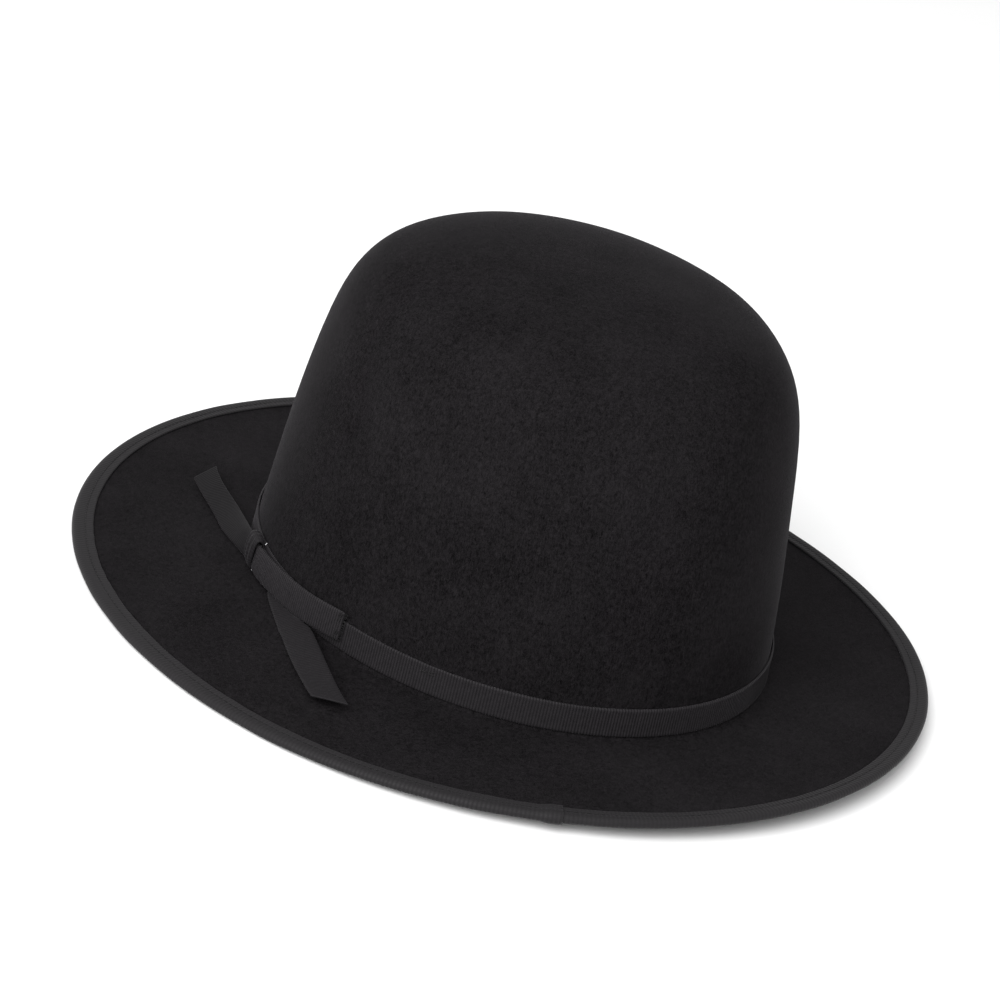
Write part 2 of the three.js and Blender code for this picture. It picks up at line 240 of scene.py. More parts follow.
def capped(name: str, points: np.ndarray, across: np.ndarray, along: np.ndarray) -> bpy.types.Object:
    """Skins a ribbon and closes its two ends.

    Args:
        name: The piece's name.
        points: Rows round the ribbon's section, columns along it.
        across: Millimetres round the section, with one more to wrap.
        along: Millimetres along the ribbon.

    Returns:
        The closed piece.
    """
    piece = skin(name, points, True, False, across, along)
    shape = bmesh.new()
    shape.from_mesh(piece.data)
    bmesh.ops.holes_fill(shape, edges=[edge for edge in shape.edges if edge.is_boundary], sides=0)
    bmesh.ops.recalc_face_normals(shape, faces=shape.faces)
    for face in shape.faces:
        face.smooth = len(face.verts) < 5
    shape.to_mesh(piece.data)
    shape.free()
    return piece


@dataclass(frozen=True)
class Ribbon:
    """A ribbed ribbon, in millimetres."""

    width: float = 11.0
    thickness: float = 0.6
    rib: float = 1.1
    rib_height: float = 0.06

    def weave(
        self, name: str, rails: Sequence[np.ndarray], cut: float = 0.0, corner: float = 0.1
    ) -> bpy.types.Object:
        """Weaves a ribbon between rails.

        Args:
            name: The piece's name.
            rails: Lines of equal count, from the crown edge to the outer edge.
            cut: How much further the crown edge reaches at the end than the outer edge.
            corner: Share of the width over which a fold between rails is rounded.

        Returns:
            The ribbon as a closed, ribbed piece.
        """
        middle = (rails[0] + rails[-1]) / 2
        walked = lengths_along(middle)
        ribs = max(2, round(walked[-1] / self.rib))
        count = ribs * STEPS_PER_RIB
        shares = np.linspace(0, 1, count + 1)
        even = np.interp(shares * walked[-1], walked, np.linspace(0, 1, len(walked)))
        middle_rows = np.linspace(RIM_SHARES[2], RIM_SHARES[3], 13)
        across = np.concatenate([RIM_SHARES[:2], middle_rows, RIM_SHARES[4:]])
        sheet = self.fold([smooth_rail(rail, even) for rail in rails], across, corner)
        if cut:
            slide = cut * smooth((shares - 0.75) / 0.25)[None, :, None] * (0.5 - across)[:, None, None]
            sheet += slide * unit(np.gradient(sheet, axis=1))
        normal = unit(np.cross(np.gradient(sheet, axis=0), np.gradient(sheet, axis=1)))
        wave = np.cos(np.arange(count + 1) * TURN / STEPS_PER_RIB)[None, :]
        edge = np.interp(across, RIM_SHARES, RIM_FULLNESS)[:, None]
        ends = np.interp(shares, [0, 0.004, 0.996, 1], [0.5, 1, 1, 0.5])[None, :]
        half = (self.thickness / 2 * edge * ends + self.rib_height * wave * (edge > 0.5))[..., None]
        points = np.concatenate([sheet + normal * half, (sheet - normal * half)[::-1]])
        out = np.concatenate([across, across[::-1] + 1.0, [2.0]]) * self.width
        return capped(name, points, out, shares * walked[-1])

    @staticmethod
    def fold(lanes: Sequence[np.ndarray], across: np.ndarray, corner: float) -> np.ndarray:
        """Spans a sheet between rails, with its folds along them rounded.

        Args:
            lanes: The rails, read at the same steps.
            across: Shares of the width at which the sheet has rows.
            corner: Share of the width over which a fold is rounded.

        Returns:
            Rows and columns of places in millimetres.
        """
        spans = [np.linalg.norm(b - a, axis=1) for a, b in zip(lanes, lanes[1:])]
        total = sum(spans)
        marks = [np.zeros(len(total))]
        for span in spans:
            marks.append(marks[-1] + span / total)
        reach = np.minimum(across, 1 - across) * 2
        spots = [np.clip(across + step * reach, 0, 1) for step in (-corner, 0.0, corner)]
        sheet = np.zeros((len(across), len(total), 3))
        for column in range(len(total)):
            mark = [stop[column] for stop in marks]
            for axis in range(3):
                line = [lane[column, axis] for lane in lanes]
                for spot in spots:
                    sheet[:, column, axis] += np.interp(spot, mark, line) / 3
        return sheet


# ---- The block ----------------------------------------------------------------------------


@dataclass(frozen=True)
class HatBlock:
    """The block that the felt is shaped on, in millimetres.

    Rings are first worked out on a round block of radius `round_radius`, then stretched to the
    oval of the crown and, beyond it, to the oval of the brim.
    """

    crown_half_width: float
    crown_half_length: float
    crown_height: float
    crown_base: float
    brim_half_width: float
    brim_half_length: float
    set_back: float = 3.6
    rake: float = 2.8
    taper: float = 0.1
    barrel: float = 0.08
    tip_rounding: float = 0.01
    height_power: float = 11.8
    radius_power: float = 2.3
    shoulder_start: float = 0.62
    back_lift: float = 6.2
    lift_start: float = 0.12
    lift_power: float = 1.5

    @classmethod
    def from_frame(cls) -> "HatBlock":
        """Reads the block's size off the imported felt, band and binding.

        Returns:
            The block.
        """
        crown_base = 4.4
        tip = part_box("felt_body")[1].z / MM
        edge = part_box("brim_binding")[1] / MM
        band_low, band_high = (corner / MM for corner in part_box("hat_band"))
        band_stands = 0.8
        return cls(
            crown_half_width=round(band_high.x - band_stands, 1),
            crown_half_length=round((band_high.y - band_low.y) / 2 - band_stands, 1),
            crown_height=tip - crown_base,
            crown_base=crown_base,
            brim_half_width=edge.x,
            brim_half_length=edge.y,
        )

    @property
    def round_radius(self) -> float:
        """Radius of the round block's crown."""
        return math.sqrt(self.crown_half_width * self.crown_half_length)

    @property
    def brim(self) -> float:
        """Width of the brim at the side."""
        return self.brim_half_width - self.crown_half_width

    @property
    def edge(self) -> float:
        """Radius of the brim's edge on the round block."""
        return self.round_radius + self.brim

    def climb(self, height: np.ndarray | float) -> np.ndarray | float:
        """Share of the crown's height climbed at a height."""
        return np.clip((height - self.crown_base) / self.crown_height, 0.0, 1.0)

    def share(self, climbed: np.ndarray | float) -> np.ndarray | float:
        """Radius of the crown, as a share of its base radius, at a share of its height."""
        dome = np.maximum(1 - climbed**self.height_power, 0.0) ** (1 / self.radius_power)
        return (1 - self.taper * climbed - self.barrel * climbed**2) * dome

    def wall(self, height: np.ndarray | float) -> np.ndarray | float:
        """Radius of the crown's outer face at a height."""
        return self.round_radius * self.share(self.climb(height))

    def shell(self, depth: float, low: float, high: float, steps: int) -> tuple[np.ndarray, np.ndarray]:
        """Profile up the crown behind its outer face.

        Args:
            depth: Distance behind the outer face.
            low: Share of the height where the profile starts.
            high: Share of the height where it ends, 1 at the tip.
            steps: Number of steps, close together in the shoulder.

        Returns:
            Radii and heights.
        """
        straight_to = min(max(low, self.shoulder_start), high)
        straight = np.linspace(low, straight_to, steps // 3)[: -1 if straight_to > low else 0]
        start, end = (
            math.acos((1 - limit**self.height_power) ** (1 / self.radius_power))
            for limit in (straight_to, high)
        )
        turns = np.linspace(start, end, steps - len(straight))
        turned = (1 - np.cos(turns) ** self.radius_power) ** (1 / self.height_power)
        climbed = np.concatenate([straight, turned])
        heights = self.crown_base + (self.crown_height - depth) * climbed
        return (self.round_radius - depth) * self.share(climbed), heights

    def place(self, radius: np.ndarray, angle: np.ndarray, height: np.ndarray) -> np.ndarray:
        """Place on the oval hat of points on the round block.

        Args:
            radius: Distances from the block's middle.
            angle: Angles in radians.
            height: Heights above the floor.

        Returns:
            Places in millimetres, with x, y and z last.
        """
        radius, angle, height = np.broadcast_arrays(radius, angle, height)
        cosine, sine, climbed = np.cos(angle), np.sin(angle), self.climb(height)
        inside = np.minimum(radius, self.round_radius) / self.round_radius
        out = np.maximum(radius - self.round_radius, 0.0) / self.brim
        half_width = self.crown_half_width * inside * (1 + self.tip_rounding * climbed * (out == 0))
        half_length = self.crown_half_length * inside * (1 - self.tip_rounding * climbed * (out == 0))
        half_width = half_width + (self.brim_half_width - self.crown_half_width) * out
        half_length = half_length + (self.brim_half_length - self.crown_half_length) * out
        rise = np.maximum(0.0, (sine - self.lift_start) / (1 - self.lift_start)) ** self.lift_power
        back = self.set_back * (1 - out) + self.rake * climbed
        lifted = height + self.back_lift * rise * out**self.lift_power
        return np.stack([half_width * cosine, half_length * sine + back, lifted], axis=-1)

    def grid(self, radii: np.ndarray, angles: np.ndarray, heights: np.ndarray) -> np.ndarray:
        """Places of a profile repeated at angles, one row for each point of the profile."""
        return self.place(radii[:, None], angles[None, :], heights[:, None])

    def even_angles(self, count: int, start: float = 0.0) -> np.ndarray:
        """Angles an even distance apart round the crown's base.

        Args:
            count: How many angles.
            start: Where the first one lies, in radians.

        Returns:
            The angles, in radians, over one turn.
        """
        fine = start + np.linspace(0, TURN, 2881)
        walked = lengths_along(self.place(self.round_radius, fine, self.crown_base))
        return np.interp(np.arange(count) / count * walked[-1], walked, fine)

    def girth(self, radius: float, height: float) -> float:
        """Length of a ring round the hat."""
        return float(lengths_along(self.place(radius, np.linspace(0, TURN, 721), height))[-1])

    def along_crown(self, angle: float) -> float:
        """Millimetres round the crown's base for each radian at an angle."""
        return math.hypot(self.crown_half_width * math.sin(angle), self.crown_half_length * math.cos(angle))


def ring(
    name: str,
    block: HatBlock,
    profile: tuple[np.ndarray, np.ndarray],
    angles: np.ndarray,
    relief: Field | np.ndarray | None = None,
    closed: bool = True,
) -> bpy.types.Object:
    """Sweeps a profile round the hat.

    Args:
        name: The piece's name.
        block: The block that stretches the ring to the oval.
        profile: Radii and heights of the profile.
        angles: Where the profile is repeated, in radians, over one turn.
        relief: How far each point stands off the profile, as a grid or a function of places.
        closed: Whether the profile's end joins its start. Otherwise it ends on poles.

    Returns:
        The piece.
    """
    radii, heights = (np.asarray(part, float)[:, None] for part in profile)
    turns = np.asarray(angles, float)[None, :]
    places = block.place(radii, turns, heights)
    if relief is not None:
        outward_r, outward_z = profile_normals(radii[:, 0], heights[:, 0], closed)
        raised = relief(places) if callable(relief) else relief
        lifted = np.maximum(radii + outward_r[:, None] * raised, 0.0)
        places = block.place(lifted, turns, heights + outward_z[:, None] * raised)
    walked = block.girth(block.round_radius, block.crown_base) * np.arange(len(angles) + 1)
    outline = np.column_stack([radii[:, 0], heights[:, 0]])
    if closed:
        outline = np.vstack([outline, outline[0]])
    return skin(name, places, closed, True, lengths_along(outline), walked / len(angles))


def profile_normals(radii: np.ndarray, heights: np.ndarray, closed: bool) -> tuple[np.ndarray, np.ndarray]:
    """Directions that point off a profile to its right on the way along.

    Args:
        radii: The profile's radii.
        heights: The profile's heights.
        closed: Whether its end joins its start.

    Returns:
        The radial and upward parts of each direction.
    """
    line = np.column_stack([radii, heights])
    if closed:
        tangent = np.roll(line, -1, axis=0) - np.roll(line, 1, axis=0)
    else:
        tangent = np.gradient(line, axis=0)
    tangent = unit(tangent)
    return tangent[:, 1], -tangent[:, 0]


# ---- Finishes -----------------------------------------------------------------------------


def add_node(tree: bpy.types.NodeTree, kind: str, inputs: dict, settings: dict) -> bpy.types.Node:
    """Adds a node to a tree.

    Args:
        tree: The tree.
        kind: The node's full type name.
        inputs: Plain values or sockets to link, by input name or number.
        settings: Properties of the node.

    Returns:
        The node.
    """
    node = tree.nodes.new(kind)
    for key, value in settings.items():
        setattr(node, key, value)
    for key, value in inputs.items():
        if isinstance(value, bpy.types.NodeSocket):
            tree.links.new(value, node.inputs[key])
        else:
            node.inputs[key].default_value = value
    return node


class Shader:
    """A material with a principled shader, whose node tree is built a step at a time."""

    def __init__(self, name: str, color: Color, roughness: float, **sockets: float | Color) -> None:
        """Starts a material.

        Args:
            name: The material's name.
            color: Plain colour, used until `tint` links a pattern.
            roughness: Plain roughness.
            **sockets: Other plain values, by socket name with _ for a space.
        """
        self.material = bpy.data.materials.new(name)
        self.material.use_nodes = True
        self.tree = self.material.node_tree
        self.bsdf = self.tree.nodes["Principled BSDF"]
        self.bsdf.inputs["Base Color"].default_value = (*color, 1.0)
        self.bsdf.inputs["Roughness"].default_value = roughness
        for socket, value in sockets.items():
            full = (*value, 1.0) if isinstance(value, tuple) else value
            self.bsdf.inputs[socket.replace("_", " ")].default_value = full
        self.material.diffuse_color = (*color, 1.0)

    def add(self, kind: str, inputs: dict, **settings: object) -> bpy.types.Node:
        """Adds a node, named without the ShaderNode in front."""
        return add_node(self.tree, "ShaderNode" + kind, inputs, settings)

    def places(self) -> bpy.types.NodeSocket:
        """Object coordinates, in metres."""
        return self.add("TexCoord", {}).outputs["Object"]

    def cloth(self) -> bpy.types.NodeSocket:
        """Coordinates along and across the ribbon, in metres."""
        return self.add("UVMap", {}, uv_map="cloth").outputs["UV"]

    def noise(
        self, where: bpy.types.NodeSocket, size: float, detail: float = 3.0, warp: float = 0.0
    ) -> bpy.types.NodeSocket:
        """Noise with bumps of about `size` millimetres."""
        inputs = {
            "Vector": where,
            "Scale": 1 / (size * MM),
            "Detail": detail,
            "Roughness": 0.6,
            "Distortion": warp,
        }
        return self.add("TexNoise", inputs).outputs["Fac"]

    def math(self, operation: str, *values: float | bpy.types.NodeSocket) -> bpy.types.NodeSocket:
        """One step of arithmetic."""
        return self.add("Math", dict(enumerate(values)), operation=operation).outputs[0]

    def mix(
        self, first: bpy.types.NodeSocket, share: float, second: bpy.types.NodeSocket, other_share: float
    ) -> bpy.types.NodeSocket:
        """Adds two values, each times its share."""
        return self.math("MULTIPLY_ADD", first, share, self.math("MULTIPLY", second, other_share))

    def stretched(
        self, where: bpy.types.NodeSocket, scale: tuple[float, float, float]
    ) -> bpy.types.NodeSocket:
        """Coordinates scaled on each axis, so that noise is drawn out where the scale is small."""
        return self.add("Mapping", {"Vector": where, "Scale": scale}).outputs["Vector"]

    def split(self, where: bpy.types.NodeSocket) -> tuple[bpy.types.NodeSocket, bpy.types.NodeSocket]:
        """The first two coordinates."""
        axes = self.add("SeparateXYZ", {"Vector": where}).outputs
        return axes["X"], axes["Y"]

    def spread(
        self, value: bpy.types.NodeSocket, low: float, high: float, to_low: float = 0.0, to_high: float = 1.0
    ) -> bpy.types.NodeSocket:
        """Stretches a range of values to another, clamped."""
        inputs = {"Value": value, "From Min": low, "From Max": high, "To Min": to_low, "To Max": to_high}
        return self.add("MapRange", inputs).outputs["Result"]

    def lines(self, axis: bpy.types.NodeSocket, pitch: float) -> bpy.types.NodeSocket:
        """Even lines `pitch` millimetres apart along an axis, from 0 in a valley to 1 on a ridge.

        Args:
            axis: The axis, in metres.
            pitch: Distance from ridge to ridge, in millimetres.

        Returns:
            The lines, as a value.
        """
        phase = self.math("MULTIPLY", axis, TURN / (pitch * MM))
        wave = self.math("COSINE", phase)
        return self.math("MULTIPLY_ADD", wave, 0.5, 0.5)

    def tint(self, factor: bpy.types.NodeSocket, dark: Color, light: Color) -> None:
        """Colours the surface from dark to light by a factor.

        Args:
            factor: A value from 0 to 1.
            dark: Colour at 0.
            light: Colour at 1.
        """
        ramp = self.add("ValToRGB", {"Fac": factor})
        ramp.color_ramp.elements[0].color = (*dark, 1.0)
        ramp.color_ramp.elements[1].color = (*light, 1.0)
        self.tree.links.new(ramp.outputs["Color"], self.bsdf.inputs["Base Color"])

    def gloss(self, factor: bpy.types.NodeSocket, smoothest: float, roughest: float) -> None:
        """Varies the roughness by a factor."""
        varied = self.spread(factor, 0.0, 1.0, smoothest, roughest)
        self.tree.links.new(varied, self.bsdf.inputs["Roughness"])

    def bump(self, *layers: tuple[bpy.types.NodeSocket, float, float]) -> None:
        """Adds bumps, each a height, a depth in millimetres and a strength.

        Args:
            *layers: The bumps, from the broadest to the finest.
        """
        normal: bpy.types.NodeSocket | None = None
        for height, depth, strength in layers:
            inputs = {"Height": height, "Distance": depth * MM, "Strength": strength}
            if normal is not None:
                inputs["Normal"] = normal
            normal = self.add("Bump", inputs).outputs["Normal"]
        self.tree.links.new(normal, self.bsdf.inputs["Normal"])


def soft_sheen(weight: float) -> dict[str, float | Color]:
    """Sockets for the soft, faintly violet sheen of black felt and ribbon."""
    return {"Sheen_Weight": weight, "Sheen_Roughness": 0.3, "Sheen_Tint": (0.9, 0.86, 0.92)}


@dataclass(frozen=True)
class Felt:
    """Fur felt: matted short fibres, a little lighter where the nap stands up."""

    name: str = "fur_felt"
    dark: Color = (0.0010, 0.0008, 0.0010)
    light: Color = (0.0127, 0.0115, 0.0126)
    fibre: float = 0.55
    nap: float = 1.8
    patch: float = 34.0
    sheen: float = 0.04

    def material(self) -> bpy.types.Material:
        """Builds the felt's material.

        Returns:
            The finished material.
        """
        shader = Shader(self.name, self.light, 0.92, Specular_IOR_Level=0.04, **soft_sheen(self.sheen))
        where = shader.places()
        fibres = shader.noise(where, self.fibre, 4.0, 2.2)
        brushed = shader.stretched(where, (1.0, 1.0, 0.28))
        flat_fibres = shader.noise(brushed, self.fibre * 0.8, 3.0, 1.0)
        nap = shader.noise(where, self.nap, 3.0, 0.8)
        patches = shader.noise(where, self.patch, 2.0)
        grain = shader.mix(fibres, 0.5, flat_fibres, 0.5)
        toned = shader.mix(patches, 0.12, shader.mix(nap, 0.28, grain, 0.72), 0.88)
        shader.tint(shader.spread(toned, 0.4, 0.6), self.dark, self.light)
        shader.gloss(shader.spread(nap, 0.35, 0.65), 0.84, 0.98)
        shader.bump((nap, 0.12, 0.5), (fibres, 0.08, 0.85), (flat_fibres, 0.05, 0.6))
        return shader.material


@dataclass(frozen=True)
class Grosgrain:
    """Ribbed rayon ribbon, whose ribs run across it and whose fine warp runs along it."""

    name: str = "grosgrain"
    dark: Color = (0.0040, 0.0036, 0.0041)
    light: Color = (0.0240, 0.0219, 0.0240)
    rib: float = 1.1
    warp: float = 0.28
    rib_depth: float = 0.09
    roughness: float = 0.55
    sheen: float = 0.05

    def material(self) -> bpy.types.Material:
        """Builds the ribbon's material.

        Returns:
            The finished material.
        """
        shader = Shader(
            self.name, self.light, self.roughness, Specular_IOR_Level=0.08, **soft_sheen(self.sheen)
        )
        along, across = shader.split(shader.cloth())
        ribs = shader.lines(along, self.rib)
        warp = shader.lines(across, self.warp)
        uneven = shader.noise(shader.places(), 1.6, 3.0, 0.4)
        fluff = shader.noise(shader.places(), 0.35, 2.0, 1.5)
        # Random tone, warp lines and ribs set the colour; the rib valleys are painted darker as shade.
        shade = shader.mix(uneven, 0.45, shader.mix(warp, 0.25, ribs, 0.75), 0.6)
        shader.tint(shader.spread(shade, 0.1, 0.9), self.dark, self.light)
        shader.gloss(ribs, self.roughness + 0.2, self.roughness - 0.06)
        shader.bump((ribs, self.rib_depth, 0.8), (warp, 0.035, 0.5), (fluff, 0.03, 0.35))
        return shader.material


@dataclass(frozen=True)
class Thread:
    """Spun sewing thread with a fine twist."""

    name: str = "sewing_thread"
    dark: Color = (0.004, 0.004, 0.004)
    light: Color = (0.013, 0.012, 0.013)

    def material(self) -> bpy.types.Material:
        """Builds the thread's material.

        Returns:
            The finished material.
        """
        shader = Shader(self.name, self.light, 0.55, Specular_IOR_Level=0.15, Sheen_Weight=0.05)
        where = shader.places()
        slanted = shader.add("Mapping", {"Vector": where, "Rotation": (0.6, 0.5, 0.8)}).outputs["Vector"]
        twist = shader.lines(shader.split(slanted)[0], 0.22)
        fluff = shader.noise(where, 0.18, 2.0, 1.0)
        shader.tint(shader.mix(fluff, 0.4, twist, 0.6), self.dark, self.light)
        shader.gloss(fluff, 0.5, 0.7)
        shader.bump((twist, 0.05, 0.8), (fluff, 0.03, 0.4))
        return shader.material


@dataclass(frozen=True)
class Leather:
    """Roan leather with a fine pebbled grain and an uneven tone."""

    name: str = "sweat_leather"
    dark: Color = (0.020, 0.011, 0.007)
    light: Color = (0.062, 0.034, 0.020)
    pebble: float = 0.9

    def material(self) -> bpy.types.Material:
        """Builds the leather's material.

        Returns:
            The finished material.
        """
        gloss = {"Specular_IOR_Level": 0.5, "Coat_Weight": 0.08, "Coat_Roughness": 0.3}
        shader = Shader(self.name, self.light, 0.45, **gloss)
        where = shader.places()
        inputs = {"Vector": where, "Scale": 1 / (self.pebble * MM), "Randomness": 1.0}
        cells = shader.add("TexVoronoi", inputs, feature="DISTANCE_TO_EDGE").outputs["Distance"]
        pebbles = shader.spread(cells, 0.0, 0.28)
        pores = shader.noise(where, 0.22, 2.0)
        worn = shader.noise(where, 22.0, 4.0, 0.6)
        tone = shader.mix(worn, 0.7, pebbles, 0.3)
        shader.tint(shader.spread(tone, 0.25, 0.8), self.dark, self.light)
        shader.gloss(shader.spread(worn, 0.3, 0.7), 0.36, 0.55)
        shader.bump((pebbles, 0.06, 0.5), (pores, 0.02, 0.4))
        return shader.material


@dataclass(frozen=True)
class Satin:
    """Satin lining: long floats with a soft gloss and a few slubs."""

    name: str = "lining_satin"
    dark: Color = (0.014, 0.014, 0.018)
    light: Color = (0.040, 0.040, 0.048)
    float_pitch: float = 0.3
    roughness: float = 0.3

    def material(self) -> bpy.types.Material:
        """Builds the satin's material.

        Returns:
            The finished material.
        """
        shader = Shader(
            self.name,
            self.light,
            self.roughness,
            Specular_IOR_Level=0.6,
            Anisotropic=0.55,
            Sheen_Weight=0.3,
            Sheen_Roughness=0.3,
        )
        cloth = shader.cloth()
        floats = shader.lines(shader.split(cloth)[0], self.float_pitch)
        slubs = shader.noise(shader.stretched(cloth, (1.0, 0.12, 1.0)), 0.9, 3.0)
        cloudy = shader.noise(cloth, 9.0, 3.0)
        tone = shader.mix(slubs, 0.5, cloudy, 0.5)
        shader.tint(shader.spread(tone, 0.3, 0.7), self.dark, self.light)
        shader.gloss(slubs, self.roughness - 0.06, self.roughness + 0.12)
        shader.bump((floats, 0.03, 0.4), (slubs, 0.03, 0.3))
        return shader.material


@dataclass(frozen=True)
class Woven:
    """Plain woven cotton tape or paper-backed cloth, with crossing threads."""

    name: str
    dark: Color
    light: Color
    pitch: float = 0.35

    def material(self) -> bpy.types.Material:
        """Builds the tape's material.

        Returns:
            The finished material.
        """
        shader = Shader(self.name, self.light, 0.8, Sheen_Weight=0.2, Sheen_Roughness=0.5)
        weft, warp = (shader.lines(axis, self.pitch) for axis in shader.split(shader.cloth()))
        checks = shader.math("ABSOLUTE", shader.math("SUBTRACT", weft, warp))
        soil = shader.noise(shader.places(), 6.0, 4.0)
        tone = shader.mix(soil, 0.6, checks, 0.4)
        shader.tint(shader.spread(tone, 0.2, 0.8), self.dark, self.light)
        shader.gloss(checks, 0.72, 0.9)
        shader.bump((checks, 0.06, 0.6))
        return shader.material


@dataclass(frozen=True)
class Drawn:
    """A drawn cord: steel wire or plastic reed, with fine lengthwise scratches."""

    name: str
    dark: Color
    light: Color
    metallic: float
    roughness: float

    def material(self) -> bpy.types.Material:
        """Builds the cord's material.

        Returns:
            The finished material.
        """
        shader = Shader(self.name, self.light, self.roughness, Metallic=self.metallic)
        where = shader.places()
        scratches = shader.noise(where, 0.5, 4.0, 0.3)
        stains = shader.noise(where, 8.0, 3.0)
        shader.tint(shader.spread(stains, 0.3, 0.7), self.dark, self.light)
        shader.gloss(scratches, self.roughness - 0.1, self.roughness + 0.15)
        shader.bump((scratches, 0.02, 0.3))
        return shader.material


class Slot(Enum):
    """The record's material slots."""

    FELT = "felt"
    BINDING = "binding_ribbon"
    BAND = "band_ribbon"
    THREAD = "thread"
    WIRE = "wire"
    REED = "reed"
    TAPE = "reed_tape"
    LEATHER = "sweat_leather"
    SATIN = "satin"
    TAG = "tag"


class Wardrobe:
    """Every finish, made once and handed out by slot."""

    def __init__(self) -> None:
        """Makes each slot's material."""
        binding = Grosgrain(
            "binding_grosgrain",
            dark=(0.0132, 0.0124, 0.0132),
            light=(0.0180, 0.0169, 0.0180),
            rib=0.9,
            warp=0.3,
            rib_depth=0.012,
            roughness=0.5,
        )
        finishes = {
            Slot.FELT: Felt(),
            Slot.BINDING: binding,
            Slot.BAND: Grosgrain(),
            Slot.THREAD: Thread(),
            Slot.WIRE: Drawn("brim_steel", (0.30, 0.30, 0.31), (0.48, 0.48, 0.49), 1.0, 0.32),
            Slot.REED: Drawn("reed_plastic", (0.55, 0.53, 0.47), (0.70, 0.68, 0.62), 0.0, 0.4),
            Slot.TAPE: Woven("cotton_tape", (0.018, 0.017, 0.018), (0.045, 0.043, 0.044)),
            Slot.LEATHER: Leather(),
            Slot.SATIN: Satin(),
            Slot.TAG: Woven("blank_tag", (0.52, 0.49, 0.42), (0.74, 0.71, 0.64), 0.4),
        }
        self.materials = {slot: finish.material() for slot, finish in finishes.items()}

    def dress(
        self, piece: bpy.types.Object, slot: Slot, replaces: Sequence[str] = (), body: str | None = HAT
    ) -> bpy.types.Object:
        """Finishes a piece and fastens it to its body.

        Args:
            piece: The piece.
            slot: The record's slot that it takes its finish from.
            replaces: CAD nodes that it stands for.
            body: The CAD body that it rides on, or None where it hangs between two, which leaves it
                unfastened.

        Returns:
            The piece.
        """
        piece.data.materials.clear()
        piece.data.materials.append(self.materials[slot])
        if replaces:
            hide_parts(*replaces)
        if body is not None:
            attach(piece, body)
        LOG.info("%s: %d faces, %s", piece.name, len(piece.data.polygons), slot.value)
        return piece

    def dress_node(self, node: str, slot: Slot) -> None:
        """Gives a CAD node that stays its real finish."""
        for place in frame["nodes"][node].material_slots:
            place.material = self.materials[slot]
        LOG.info("%s: kept, %s", node, slot.value)


# ---- Stitches -----------------------------------------------------------------------------


